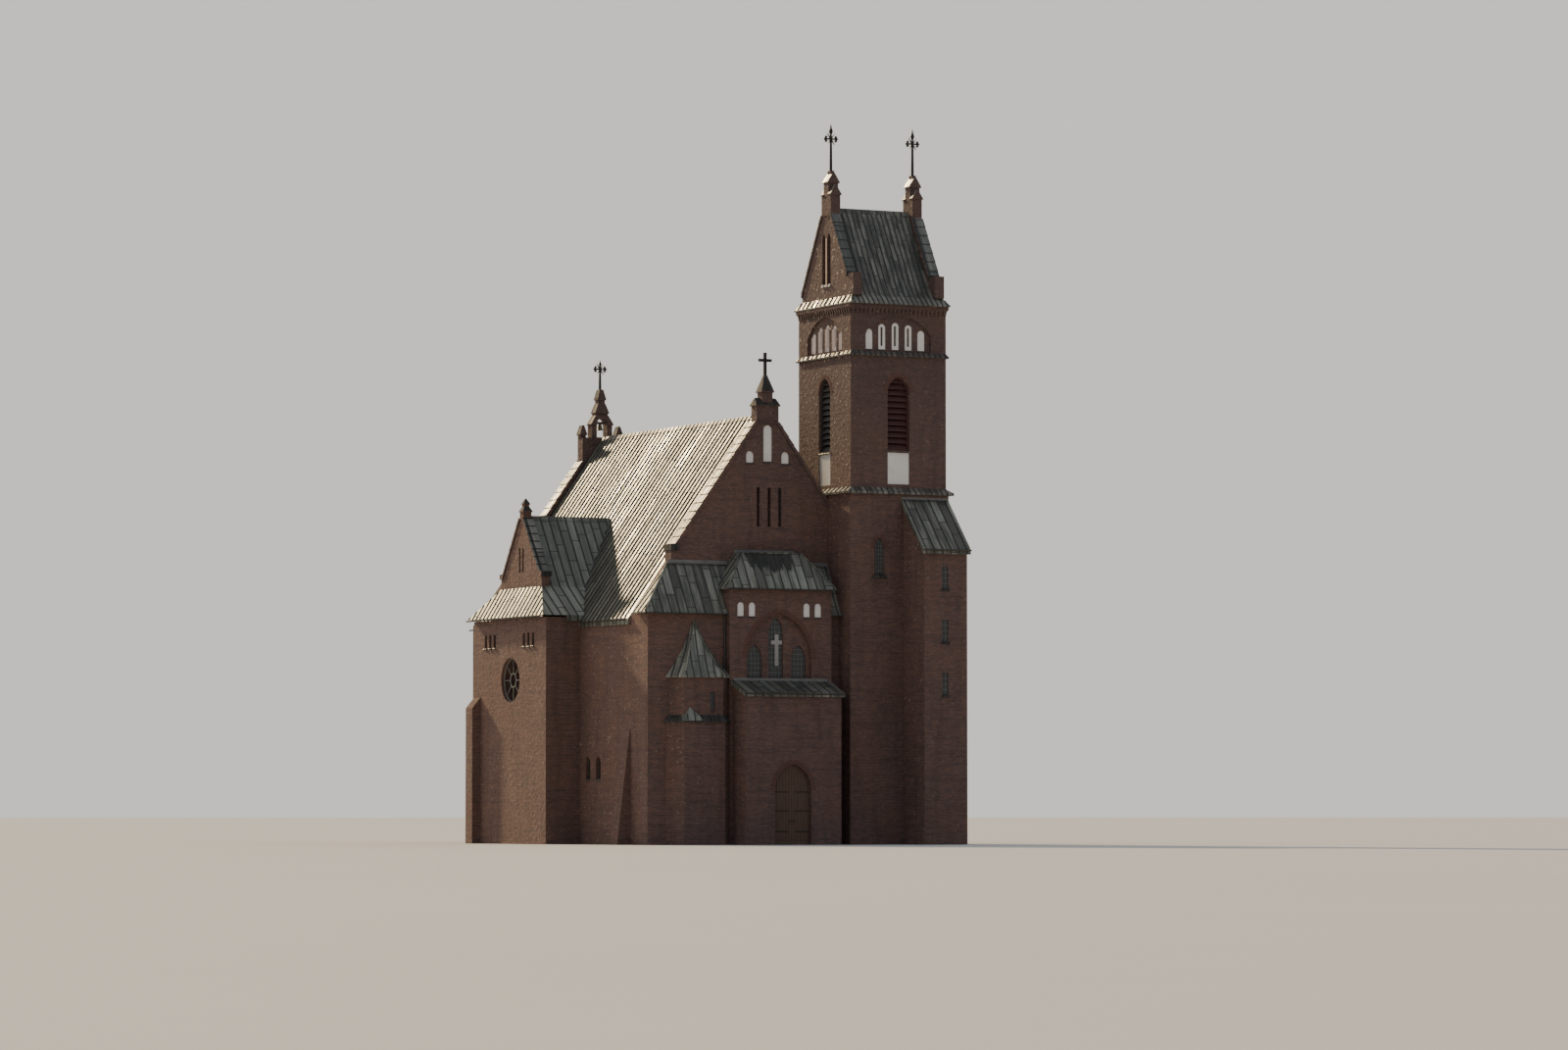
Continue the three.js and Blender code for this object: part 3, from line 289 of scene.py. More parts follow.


# %% [markdown]
# ## Brick
# The walls are of hand-made brick about 25 cm long in courses of 7.7 cm. No two bricks have
# the same tone, the mortar is a dull brown-grey, and rain and smoke have left wide dark and
# pale patches, with small lime specks. On walls that face left the pale specks are made much
# stronger, as painted sunlight. A Brick Texture lays the courses, noise does the rest, and a
# bump sinks the joints.

# %% Brick recipe
BRICK_LENGTH = 0.262
COURSE = 0.077
BRICKWORK = {
    "Color1": (0.215, 0.108, 0.080, 1),
    "Color2": (0.120, 0.070, 0.060, 1),
    "Mortar": (0.23, 0.18, 0.155, 1),
    "Scale": 1.0,
    "Mortar Size": 0.007,
    "Mortar Smooth": 0.2,
    "Bias": -0.15,
    "Brick Width": BRICK_LENGTH,
    "Row Height": COURSE,
}
RAIN_STAIN = (0.052, 0.036, 0.033, 1)
DARK_BED = (0.060, 0.042, 0.038, 1)
WARM_BRICK = (0.25, 0.115, 0.07, 1)
SOOT = (0.088, 0.061, 0.056, 1)
LIME = (0.62, 0.48, 0.36, 1)


def brick_surface(recipe, spot):
    run, height, place = spot.run, spot.height, spot.place
    flat = recipe.joined(run, height, 0.0)
    settings = {"offset": 0.5, "squash": 1.0}
    bricks = recipe.node("ShaderNodeTexBrick", settings, {"Vector": flat, **BRICKWORK})

    # Stains run down the wall, some courses are darker, and wide patches are warmer.
    stains = recipe.noise(recipe.joined(run * 1.6, height * 0.22, 0.0), 1.0, 5.0, 0.6)
    colour = recipe.mix(stains.over(0.45, 2.4) * 0.5, bricks, RAIN_STAIN)
    beds = recipe.noise(recipe.joined(run * 0.3, height * 4.5, 5.0), 1.0, 3.0, 0.7)
    colour = recipe.mix(beds.over(0.48, 3.5) * 0.5, colour, DARK_BED)
    patches = recipe.noise(place, 0.35, 5.0)
    colour = recipe.mix(patches.over(0.5, 2.5) * 0.5, colour, WARM_BRICK)
    colour = recipe.mix(height.over(18.0, 0.15) * 0.5, colour, SOOT)

    # Lime specks single bricks and small spots, more so high up; on what faces left they are made much
    # stronger, as painted sunlight on the lit side.
    brick_number = (run / BRICK_LENGTH).math("FLOOR")
    cell = recipe.joined(brick_number, (height / COURSE / 2).math("FLOOR"), 0.0)
    high = height.over(14.0, 0.1)
    limes = (recipe.noise(place, 6.0, 2.0) - 0.65 + high * 0.015) * 14.0
    limes = limes + ((recipe.chance("3D", Vector=cell) - 0.975 + high * 0.015) * 40.0).limited()
    painted_sunlit_share = 0.15 - spot.facing[0].math("MINIMUM", 0.0) * (0.3 + high * 0.55)
    colour = recipe.mix(limes.limited() * painted_sunlit_share, colour, LIME)

    coarse = recipe.noise(place, 4.5, 3.0, 0.7)
    normal = recipe.bump(coarse * 2.0 - bricks.outputs()["Fac"] * 0.3, 1.0, 0.07)
    rough = 0.82 + patches * 0.12
    return recipe.surface(base_color=colour, roughness=rough, normal=normal)


brick_recipe = Recipe(bpy.data.materials.new("brick"))
brick = brick_recipe.done(brick_surface(brick_recipe, measured(brick_recipe)))
print("brick courses of", COURSE)

# %% [markdown]
# ## Copper
# Old copper sheet is grey-green, with paler runs where water comes down between the standing
# seams. Each sheet has its own tone, so the run is divided by the seam spacing and its whole
# part picks a random number. The sheet still shines a little, which makes the slope that
# faces the sun glare.


# %% Copper recipe
# Dark exposed copper, also used as painted seam shadow beside the folds.
BARE_COPPER_AND_SEAM_SHADE = (0.020, 0.020, 0.019, 1)
WORN_COPPER = (0.045, 0.048, 0.047, 1)
# The share of a sheet that is dark at each fold: the fold itself, widened into painted seam shadow.
DEFAULT_FOLD_SHADOW_SHARE = 0.1
WIDE_SHEET = 0.5
CANT_SHEET = 0.42
STRING_SHEET = 0.33
NARROW_SHEET = 0.3


def copper_surface(recipe, spot, pitch, tones, gleam, stain=None, seat=None, fold_and_shadow_band=DEFAULT_FOLD_SHADOW_SHARE):
    """Sheets a pitch wide; their folds, a stain and a coping's sides are dark exposed metal, and the
    dark band at each fold is widened into painted shadow of the standing seam.
    """
    run, height, place = spot.run, spot.height, spot.place
    across = run / pitch
    sheet = across.math("FLOOR")
    tone = recipe.chance("1D", W=sheet)
    row = height / (pitch * 3.4) + tone * 7.0
    patch = recipe.chance("3D", Vector=recipe.joined(sheet, row.math("FLOOR"), 0.0))

    # Pale runs come down each sheet, and the sheets and their pieces differ in tone.
    runs = recipe.noise(recipe.joined(run * 4.5, height * 0.25 / pitch, sheet * 3.7), 1.0, 6.0, 0.6)
    fine = recipe.noise(recipe.joined(run * 17.0, height * 0.9, 0.0), 1.0, 3.0)
    share = (runs - 0.38) * 2.2 + (tone * 0.3 + patch * 0.5) - 0.4 + (fine - 0.5) * 0.9
    colour = recipe.mix(share.limited(), *tones)
    blotch = recipe.noise(place, 0.5, 4.0)
    colour = recipe.mix(blotch.over(0.56, 5.0) * 0.6, colour, WORN_COPPER)

    # Folds and cross joints are exposed and dark; the band at each fold, as wide as its share, is partly
    # painted shadow of the standing seam.
    fold_with_seam_shadow = (((across - sheet - 0.5).math("ABSOLUTE") - 0.5 + fold_and_shadow_band) * 25.0).limited()
    lines = fold_with_seam_shadow.math("MAXIMUM", (row - row.math("FLOOR")).over(0.97, 60.0))
    if stain:
        middle, half, low = stain
        inside = (half - (spot.x - middle).math("ABSOLUTE") + (blotch - 0.5) * 3.0) * 6.0
        above = (height - low + (runs - 0.5) * 2.2) * 8.0
        lines = lines.math("MAXIMUM", inside.limited() * above.limited())
    if seat:
        level = (0.15 - spot.facing[2]) > 0.0
        lines = lines.math("MAXIMUM", level).math("MAXIMUM", height > seat)
    colour = recipe.mix(lines * 0.9, colour, BARE_COPPER_AND_SEAM_SHADE)

    # Some bands of sheets are smoother, and so is wet copper behind the building's middle.
    shiny = recipe.chance("1D", W=(across / 2.0).math("FLOOR") + 0.5)
    wet = recipe.noise(recipe.joined(run * 0.9, height * 0.3, 7.0), 1.0, 4.0, 0.6)
    gloss = shiny.over(0.74, 9.0) * wet.over(0.40, 7.0) * 0.13
    behind = spot.y.limited() * wet.over(0.35, 5.0) * 0.04
    rough = gleam + (patch - 0.5) * 0.1 - gloss - behind + (runs - 0.5) * 0.28 + lines * 0.3
    normal = recipe.bump(blotch + fine * 0.1, 0.12, 0.03)
    metal = 0.35 - lines * 0.35
    return recipe.surface(base_color=colour, metallic=metal, roughness=rough, normal=normal)


def copper_finish(name, pitch, tones, gleam, stain=None, fold_and_shadow_band=DEFAULT_FOLD_SHADOW_SHARE):
    recipe = Recipe(bpy.data.materials.new(name))
    spot = measured(recipe)
    return recipe.done(copper_surface(recipe, spot, pitch, tones, gleam, stain, fold_and_shadow_band=fold_and_shadow_band))


COPPER = ((0.105, 0.101, 0.082, 1), (0.40, 0.388, 0.315, 1))
NAVE_COPPER = ((0.115, 0.11, 0.09, 1), (0.29, 0.28, 0.226, 1))
ARM_COPPER = ((0.155, 0.157, 0.127, 1), (0.33, 0.332, 0.27, 1))
CANT_COPPER = ((0.155, 0.153, 0.124, 1), (0.48, 0.47, 0.385, 1))
BAY_COPPER = ((0.15, 0.146, 0.118, 1), (0.48, 0.472, 0.385, 1))
TOWER_COPPER = ((0.10, 0.096, 0.083, 1), (0.42, 0.405, 0.34, 1))
EAVES_COPPER = ((0.15, 0.142, 0.118, 1), (0.33, 0.315, 0.26, 1))
STRING_COPPER = ((0.075, 0.060, 0.050, 1), (0.22, 0.178, 0.148, 1))
TRIM_COPPER = ((0.11, 0.10, 0.085, 1), (0.38, 0.35, 0.29, 1))
CAP_COPPER = ((0.040, 0.037, 0.033, 1), (0.13, 0.118, 0.102, 1))
BAY_STAIN = (-0.25, 1.45, 14.62)
# Where a finish is given a wider band share, its dark fold bands are painted seam shadow.
copper_wide = copper_finish("copper_wide", WIDE_SHEET, COPPER, 0.56)
copper_nave = copper_finish("copper_nave", WIDE_SHEET, NAVE_COPPER, 0.465, fold_and_shadow_band=0.14)
copper_arm = copper_finish("copper_arm", WIDE_SHEET, ARM_COPPER, 0.49, fold_and_shadow_band=0.12)
copper_bay = copper_finish("copper_bay", WIDE_SHEET, BAY_COPPER, 0.60, BAY_STAIN)
copper_cant = copper_finish("copper_cant", CANT_SHEET, CANT_COPPER, 0.55)
copper_narrow = copper_finish("copper_narrow", NARROW_SHEET, TOWER_COPPER, 0.58)
copper_eaves = copper_finish("copper_eaves", NARROW_SHEET, EAVES_COPPER, 0.45, fold_and_shadow_band=0.16)
copper_string = copper_finish("copper_string", STRING_SHEET, STRING_COPPER, 0.50, fold_and_shadow_band=0.17)
copper_trim = copper_finish("copper_trim", STRING_SHEET, TRIM_COPPER, 0.42, fold_and_shadow_band=0.15)
copper_cap = copper_finish("copper_cap", WIDE_SHEET, CAP_COPPER, 0.70)
print("copper finishes:", copper_wide.name, copper_narrow.name, copper_trim.name)

# %% [markdown]
# ## Brick with copper caps
# A pinnacle is one solid of brick blocks with sloping copper caps. Whatever faces upward is
# copper and the rest is brick, so the facing chooses between the two shaders. The caps in the
# sun still gleam, and those on the front gable and the bellcote are almost black.


# %% Capped brick
def capped_finish(name, pitch, tones, gleam, side=None, seat=99.0):
    """Copper on what faces up, and below the seat on all but the two sides of a coping."""
    recipe = Recipe(bpy.data.materials.new(name))
    spot = measured(recipe)
    seat = None if side is None else seat
    copper_part = copper_surface(recipe, spot, pitch, tones, gleam, seat=seat)
    is_copper = spot.facing[2] > 0.15
    if seat:
        on_strip = (0.5 - spot.facing[side].math("ABSOLUTE")) > 0.0
        is_copper = is_copper.math("MAXIMUM", on_strip * ((seat - spot.height) > 0.0))
    parts = [is_copper, brick_surface(recipe, spot), copper_part]
    return recipe.done(recipe.node("ShaderNodeMixShader", {}, parts))


capped_brick = capped_finish("capped_brick", STRING_SHEET, COPPER, 0.54)
capped_dark = capped_finish("capped_dark", WIDE_SHEET, CAP_COPPER, 0.70)
capped_arm = capped_finish("capped_transept_coping", 0.9, TOWER_COPPER, 0.60, 0, 17.9)
capped_coping = capped_finish("capped_nave_coping", 0.45, TRIM_COPPER, 0.50, 1)
capped_tower = capped_finish("capped_tower_coping", 0.9, TOWER_COPPER, 0.52, 0)
print("capped finishes:", capped_brick.name, capped_dark.name, capped_coping.name)

# %% [markdown]
# ## The smaller finishes
# Plaster is nearly white with faint grey runs. Iron is almost black and a little rusty. Glass
# is dark, as unlit windows are by day. Boards have grain along their length, and the bell is
# dull bronze.


# %% A worn finish
def worn_finish(name, tones, size, share, rough, metallic=0.0, grain=(1, 1, 1)):
    """A clean tone with worn patches of a dirty one, and a fine bump."""
    recipe = Recipe(bpy.data.materials.new(name))
    x, y, z = recipe.split(recipe.node("ShaderNodeTexCoord", {}, [], "Object"))
    stretched = recipe.joined(x * grain[0], y * grain[1], z * grain[2])
    patches = recipe.noise(stretched, size, 5.0, 0.6)
    fine = recipe.noise(stretched, size * 12.0, 3.0)
    colour = recipe.mix(patches.over(0.4, 2.4) * share, *tones)
    rough_now = rough + (fine - 0.5) * 0.2
    normal = recipe.bump(fine, 0.2, 0.004)
    sockets = {"base_color": colour, "metallic": metallic, "roughness": rough_now, "normal": normal}
    return recipe.done(recipe.surface(**sockets))


# %% Plaster, stone, metals, glass and wood
PLASTER = ((0.88, 0.83, 0.77, 1), (0.58, 0.52, 0.46, 1))
# A darker, pinker copy of the plaster for the tower's left and right niches: painted shade.
SHADE_PAINTED_TONES = ((0.80, 0.69, 0.63, 1), (0.50, 0.42, 0.38, 1))
STONE = ((0.40, 0.37, 0.34, 1), (0.24, 0.22, 0.20, 1))
SLABS = ((0.32, 0.30, 0.27, 1), (0.20, 0.19, 0.17, 1))
ARCH_BRICK = ((0.15, 0.066, 0.05, 1), (0.075, 0.042, 0.036, 1))
IRON = ((0.022, 0.022, 0.023, 1), (0.07, 0.035, 0.02, 1))
BRONZE = ((0.22, 0.155, 0.06, 1), (0.10, 0.13, 0.10, 1))
LEAD = ((0.20, 0.19, 0.17, 1), (0.11, 0.105, 0.10, 1))
DARK_GLASS = ((0.012, 0.016, 0.020, 1), (0.04, 0.05, 0.055, 1))
GREY_GLASS = ((0.055, 0.06, 0.055, 1), (0.03, 0.034, 0.034, 1))
BOARD_RED = ((0.085, 0.028, 0.022, 1), (0.045, 0.022, 0.020, 1))
BOARD_GREY = ((0.045, 0.040, 0.036, 1), (0.026, 0.024, 0.022, 1))
OAK = ((0.13, 0.066, 0.036, 1), (0.05, 0.028, 0.018, 1))
plaster = worn_finish("plaster", PLASTER, 0.9, 0.45, 0.85)
shade_painted_plaster = worn_finish("shade_painted_plaster", SHADE_PAINTED_TONES, 0.9, 0.5, 0.85)
stone = worn_finish("pale_stone", STONE, 1.4, 0.7, 0.85)
slabs = worn_finish("floor_stone", SLABS, 0.8, 0.8, 0.6)
arch_brick = worn_finish("arch_brick", ARCH_BRICK, 7.0, 1.0, 0.85)
iron = worn_finish("iron", IRON, 3.0, 0.5, 0.55, 0.6)
bronze = worn_finish("bronze", BRONZE, 6.0, 0.8, 0.4, 0.9)
lead = worn_finish("pale_lead", LEAD, 3.0, 0.8, 0.55, 0.2)
glass = worn_finish("dark_glass", DARK_GLASS, 4.0, 0.8, 0.18)
grey_glass = worn_finish("grey_glass", GREY_GLASS, 3.0, 0.8, 0.3)
boards_x = worn_finish("red_boards", BOARD_RED, 3.0, 0.8, 0.65, grain=(0.4, 3, 6))
boards_y = worn_finish("grey_boards", BOARD_GREY, 3.0, 0.8, 0.65, grain=(3, 0.4, 6))
oak = worn_finish("oak", OAK, 3.0, 0.8, 0.6, grain=(6, 6, 0.5))
print("smaller finishes:", plaster.name, iron.name, lead.name, oak.name)

# %% [markdown]
# ## Floor of the picture
# The floor is only there for the building to stand on, so it is a plain pale sheet, marked as
# stage.

# %% Floor
FLOOR_TONES = ((0.62, 0.60, 0.57, 1), (0.60, 0.58, 0.55, 1))
bpy.ops.object.select_all(action="DESELECT")
bpy.ops.mesh.primitive_plane_add(size=3000, location=(0, 0, -0.002))
stage_floor = bpy.context.object
stage_floor.name = "stage_floor"
stage_floor.data.materials.append(worn_finish("stage_floor", FLOOR_TONES, 0.02, 1.0, 0.9))
print("floor", tuple(stage_floor.dimensions))

# %% [markdown]
# ## Paint the solids
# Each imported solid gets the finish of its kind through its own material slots, and its mesh
# is not touched.

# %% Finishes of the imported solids
KINDS = [
    (copper_wide, "narthex_roof narthex_corner_roof porch_roof stair_annex_roof chancel_roof"),
    (copper_nave, "nave_roof"),
    (copper_arm, "left_transept_roof right_transept_roof"),
    (copper_bay, "portal_bay_roof"),
    (copper_cant, "canted_bay_roof"),
    (copper_narrow, "tower_roof"),
    (copper_eaves, "tower_eaves"),
    (copper_string, "tower_upper_string"),
    (copper_cap, "canted_bay_ledge"),
    (capped_brick, "tower_left_pinnacle tower_right_pinnacle"),
    (capped_dark, "front_pinnacle rear_bellcote"),
    (capped_arm, "left_transept_coping right_transept_coping"),
    (capped_coping, "front_gable_coping rear_gable_coping"),
    (capped_tower, "tower_left_coping tower_right_coping"),
    (boards_x, "louvre_front louvre_back"),
    (boards_y, "louvre_left louvre_right"),
    (grey_glass, "left_transept_glass right_transept_glass"),
    (oak, "bell_yoke porch_doors"),
    (bronze, "bell"),
    (slabs, "church_floor"),
]
FINISHES = {name: finish for finish, names in KINDS for name in names.split()}
SLOT_FINISHES = {"brick": brick, "copper_trim": copper_trim, "iron": iron, "glass": glass}
for part in frame["record"]["subparts"]:
    finish = FINISHES.get(part["node"]) or SLOT_FINISHES[part["material_slot"]]
    for material_slot in nodes[part["node"]].material_slots:
        material_slot.material = finish
print("painted", len(nodes), "solids")

# %% [markdown]
# ## Tools for new pieces
# A long strip, such as a seam, starts as a cube laid along a line with its top away from the
# roof. Any other outline is drawn by pulling one corner after another, is filled, and is then
# extruded to its depth. All work is done in edit mode, and a finished piece has its place in
# its mesh.


# %% Drawing pieces
def deselect():
    bpy.ops.object.select_all(action="DESELECT")


def open_piece(name):
    """The primitive that was just added becomes a named piece, open in edit mode."""
    piece = bpy.context.object
    piece.name = name
    bpy.ops.object.transform_apply(location=True, rotation=True, scale=True)
    bpy.ops.object.mode_set(mode="EDIT")
    bpy.ops.mesh.select_mode(type="VERT")
    return piece


def add_bar(start, end, up, width, height):
    """A cube stretched along a line, standing on it."""
    along = (end - start).normalized()
    across = up.cross(along).normalized()
    top = along.cross(across)
    turn = Matrix((along, across, top)).transposed().to_euler()
    centre = (start + end) / 2 + top * height / 2
    size = ((end - start).length, width, height)
    bpy.ops.mesh.primitive_cube_add(size=1, location=centre, rotation=turn, scale=size)


def lay_bars(name, bars, width, height):
    """All bars of a piece in one mesh."""
    deselect()
    add_bar(*bars[0], width, height)
    piece = open_piece(name)
    for bar in bars[1:]:
        add_bar(*bar, width, height)
    return piece


def pull_outline(points, name=None):
    """Draws a closed outline corner by corner and fills it."""
    bpy.ops.mesh.primitive_plane_add(size=0.01, location=points[0])
    piece = open_piece(name) if name else None
    bpy.ops.mesh.merge(type="CENTER")
    for before, after in zip(points, points[1:]):
        bpy.ops.mesh.extrude_region_move(TRANSFORM_OT_translate={"value": after - before})
    bpy.ops.mesh.select_linked()
    bpy.ops.mesh.edge_face_add()
    return piece


def drawn_piece(name, solids, rim=0.0, rebate=0.0):
    """Outlines with the way each is extruded; a rim leaves its middle sunk by the rebate."""
    deselect()
    piece = None
    for points, way in solids:
        made = pull_outline(points, None if piece else name)
        piece = piece or made
        bpy.ops.mesh.extrude_region_move(TRANSFORM_OT_translate={"value": way})
        if rim:
            bpy.ops.mesh.inset(thickness=rim)
            bpy.ops.transform.translate(value=-way.normalized() * rebate)
    return piece


# %% Finishing pieces
def close_piece(piece, finish, round_off=0.0, body="church"):
    """Faces turned outward, edges rounded off, painted and put on its body."""
    bpy.ops.mesh.select_all(action="SELECT")
    bpy.ops.mesh.normals_make_consistent(inside=False)
    bpy.ops.object.mode_set(mode="OBJECT")
    if round_off:
        bevel = piece.modifiers.new("edges", "BEVEL")
        bevel.width = round_off
        bevel.segments = 1
        bevel.limit_method = "ANGLE"
        bpy.ops.object.modifier_apply(modifier=bevel.name)
    piece.data.materials.clear()
    piece.data.materials.append(finish)
    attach(piece, body)
    print(piece.name, len(piece.data.polygons), "faces")
    return piece


def moved_copy(piece, name, shift, body="church"):
    """The same piece again at another place, with a mesh of its own."""
    deselect()
    piece.select_set(True)
    bpy.context.view_layer.objects.active = piece
    bpy.ops.object.duplicate()
    copy = bpy.context.object
    copy.name = name
    bpy.ops.transform.translate(value=shift)
    bpy.ops.object.transform_apply(location=True, rotation=True, scale=True)
    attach(copy, body)
    print(copy.name, "is a copy of", piece.name)
    return copy


# %% [markdown]
# ## Standing seams
# Where two copper sheets meet, their edges are folded together into a rib that stands about
# 4 to 6 cm over the roof and runs down the slope. A slope is a flat shape with known corners,
# so a line at every seam is cut to that shape and a bar is laid along it. The seams are as far
# apart as the sheets that the slope's copper finish draws. The cells after the next one give
# the corners of every slope, one roof at a time.

# %% Seams on a slope
EDGE_SHARE = 0.15


def sides_of(corners):
    """Each corner with the next one, and the last with the first."""
    return zip(corners, corners[1:] + corners[:1])


def facet_axes(corners):
    """Facing, level direction and fall of a flat slope."""
    normal = Vector((0, 0, 0))
    for first, second in sides_of(corners):
        normal += first.cross(second)
    normal.normalize()
    if normal.z < 0:
        normal.negate()
    level = Vector((-normal.y, normal.x, 0)).normalized()
    return normal, level, normal.cross(level)


def seam_lines(facet, pitch):
    """Lines down a slope, none nearer its ends than a share of the pitch."""
    corners = [at(*point) for point in facet]
    normal, level, fall = facet_axes(corners)
    flat = [(corner.dot(level), corner.dot(fall)) for corner in corners]
    lines = []
    lowest = math.ceil(min(u for u, _ in flat) / pitch + EDGE_SHARE)
    highest = math.floor(max(u for u, _ in flat) / pitch - EDGE_SHARE)
    for number in range(lowest, highest + 1):
        u = number * pitch
        crossings = []
        for (u0, v0), (u1, v1) in sides_of(flat):
            if (u0 - u) * (u1 - u) < 0:
                crossings.append(v0 + (v1 - v0) * (u - u0) / (u1 - u0))
        crossings.sort()
        base = level * u + normal * corners[0].dot(normal)
        for low, high in zip(crossings[::2], crossings[1::2]):
            lines.append((base + fall * low, base + fall * high, normal))
    return lines


SEAMS = ((0.07, 0.068, 0.06, 1), (0.16, 0.155, 0.135, 1))
NAVE_SEAMS = ((0.07, 0.065, 0.053, 1), (0.17, 0.16, 0.132, 1))
seam_copper = worn_finish("seam_copper", SEAMS, 3.0, 0.8, 0.8, 0.1)
nave_seam_copper = worn_finish("nave_seam_copper", NAVE_SEAMS, 3.0, 0.8, 0.8, 0.1)


def seam_piece(name, facets, pitch, width=0.035, height=0.045, finish=seam_copper):
    lines = [line for facet in facets for line in seam_lines(facet, pitch)]
    return close_piece(lay_bars(name, lines, width, height), finish, 0.008)


# %% Slopes of the nave
NAVE_HALF = 7.87
EAVE = (NAVE_MID - NAVE_HALF, NAVE_RIDGE - NAVE_HALF * NAVE_SLOPE)
ROOF_Y = (3.25, 23.3)
VALLEY = [(ARM_EAVE, 5.05), (ARM_KNEE, 2.7), (ARM_RIDGE, 0.0)]
TOWER_SIDE_X = -0.1
TOWER_BACK_Y = 6.21


def nave_slope():
    """The whole left slope, less what the transept's roof covers."""
    front, back = ROOF_Y
    gap = VALLEY[0][1]
    foot = [(EAVE[0], y, EAVE[1]) for y in (front, ARM_MID - gap)]
    up = [(nave_x(z), ARM_MID - y, z) for z, y in VALLEY]
    down = [(nave_x(z), ARM_MID + y, z) for z, y in reversed(VALLEY[:2])]
    rest = [(EAVE[0], y, EAVE[1]) for y in (ARM_MID + gap, back)]
    return foot + up + down + rest + [(NAVE_MID, back, NAVE_RIDGE), (NAVE_MID, front, NAVE_RIDGE)]


tower_side_z = NAVE_RIDGE - (TOWER_SIDE_X - NAVE_MID) * NAVE_SLOPE
right_front = [
    (NAVE_MID, ROOF_Y[0], NAVE_RIDGE),
    (TOWER_SIDE_X, ROOF_Y[0], tower_side_z),
    (TOWER_SIDE_X, TOWER_BACK_Y, tower_side_z),
    (NAVE_MID, TOWER_BACK_Y, NAVE_RIDGE),
]
right_rest = other_side([(x, max(y, TOWER_BACK_Y), z) for x, y, z in nave_slope()])
nave_slopes = [nave_slope(), right_front, right_rest]
seam_piece("nave_seams", nave_slopes, WIDE_SHEET, 0.045, 0.06, nave_seam_copper)

# %% Slopes of the transepts
ARM_TOP = (nave_x(ARM_RIDGE), ARM_MID, ARM_RIDGE)
ARM_BEND = (nave_x(ARM_KNEE), 11.7, ARM_KNEE)
SKIRT_FOOT = (-13.9, 9.35, ARM_EAVE)
SKIRT_TOP = (-12.9, 11.7, ARM_KNEE)
ARM_LOW = [SKIRT_FOOT, (nave_x(ARM_EAVE), 9.35, ARM_EAVE), ARM_BEND, SKIRT_TOP]
ARM_HIGH = [(-12.4, 11.7, ARM_KNEE), ARM_BEND, ARM_TOP, (-12.4, ARM_MID, ARM_RIDGE)]
ARM_SKIRT = [SKIRT_FOOT, SKIRT_TOP, (-12.9, 17.1, ARM_KNEE), (-13.9, 19.45, ARM_EAVE)]
arm_slopes = [ARM_LOW, ARM_HIGH, ARM_SKIRT, other_end(ARM_LOW), other_end(ARM_HIGH)]
seam_piece("left_transept_seams", arm_slopes, WIDE_SHEET)
right_slopes = [other_side(facet) for facet in arm_slopes]
seam_piece("right_transept_seams", right_slopes, WIDE_SHEET)

# %% Slopes of the narthex and of its bay
NARTHEX_EAVE = (0.85, 12.34)
NARTHEX_TOP = (NAVE_FRONT, 15.0)
NARTHEX_HIP = [(-11.85, *NARTHEX_EAVE), (-9.75, *NARTHEX_TOP)]
BAY_EAVE = (0.45, 13.69)
BAY_TOP = (1.65, 15.6)
BAY_FEET = [(-7.15, *BAY_EAVE), (-0.64, *BAY_EAVE)]
BAY_RIDGE = [(-5.75, *BAY_TOP), (-2.15, *BAY_TOP)]
BAY_ENDS = [(-5.75, NAVE_FRONT, 15.6), (-2.15, NAVE_FRONT, 15.6)]
BAY_JOINS = [(-6.19, *NARTHEX_TOP), (-1.68, *NARTHEX_TOP)]
JOIN_FOOT = (1.69, 13.69)
NARTHEX_END = [(-0.84, *NARTHEX_EAVE), (-0.1, *NARTHEX_EAVE), (-0.1, *NARTHEX_TOP)]
NARTHEX_SLOPES = [
    [NARTHEX_HIP[0], (-6.95, *NARTHEX_EAVE), (-6.95, *JOIN_FOOT), BAY_JOINS[0], NARTHEX_HIP[1]],
    [*NARTHEX_HIP, (-11.85, NAVE_FRONT, 12.34)],
    NARTHEX_END + [BAY_JOINS[1], (-0.84, *JOIN_FOOT)],
]
BAY_SLOPES = [
    BAY_FEET + BAY_RIDGE[::-1],
    [BAY_FEET[0], BAY_RIDGE[0], BAY_ENDS[0], BAY_JOINS[0], (-7.15, *JOIN_FOOT)],
    [BAY_FEET[1], BAY_RIDGE[1], BAY_ENDS[1], BAY_JOINS[1], (-0.64, *JOIN_FOOT)],
]
seam_piece("narthex_seams", NARTHEX_SLOPES, WIDE_SHEET)
seam_piece("portal_bay_seams", BAY_SLOPES, WIDE_SHEET)

# %% Slopes of the porch and the stair annex
PORCH_SLOPE = [(-6.9, -1.05, 8.08), (-0.9, -1.05, 8.08), (-0.9, 0.65, 8.73), (-6.9, 0.65, 8.73)]
ANNEX_SLOPE = [(3.0, -2.6, 15.85), (5.93, -2.6, 15.85), (5.93, -0.1, 18.6), (3.0, -0.1, 18.6)]
seam_piece("porch_seams", [PORCH_SLOPE], WIDE_SHEET)
seam_piece("stair_annex_seams", [ANNEX_SLOPE], WIDE_SHEET)

# %% Slopes of the tower's roof, eaves and strings
ROOF_X = (0.67, 5.17)
TOWER_RIDGE = 34.57
TOWER_PROFILE = [(0.12, 29.6), (0.67, 30.4), (TOWER_MID_Y, TOWER_RIDGE)]
tower_slopes = []
for low, high in zip(TOWER_PROFILE, TOWER_PROFILE[1:]):
    quad = [(ROOF_X[0], *low), (ROOF_X[1], *low), (ROOF_X[1], *high), (ROOF_X[0], *high)]
    tower_slopes += [quad, other_end(quad, TOWER_MID_Y)]


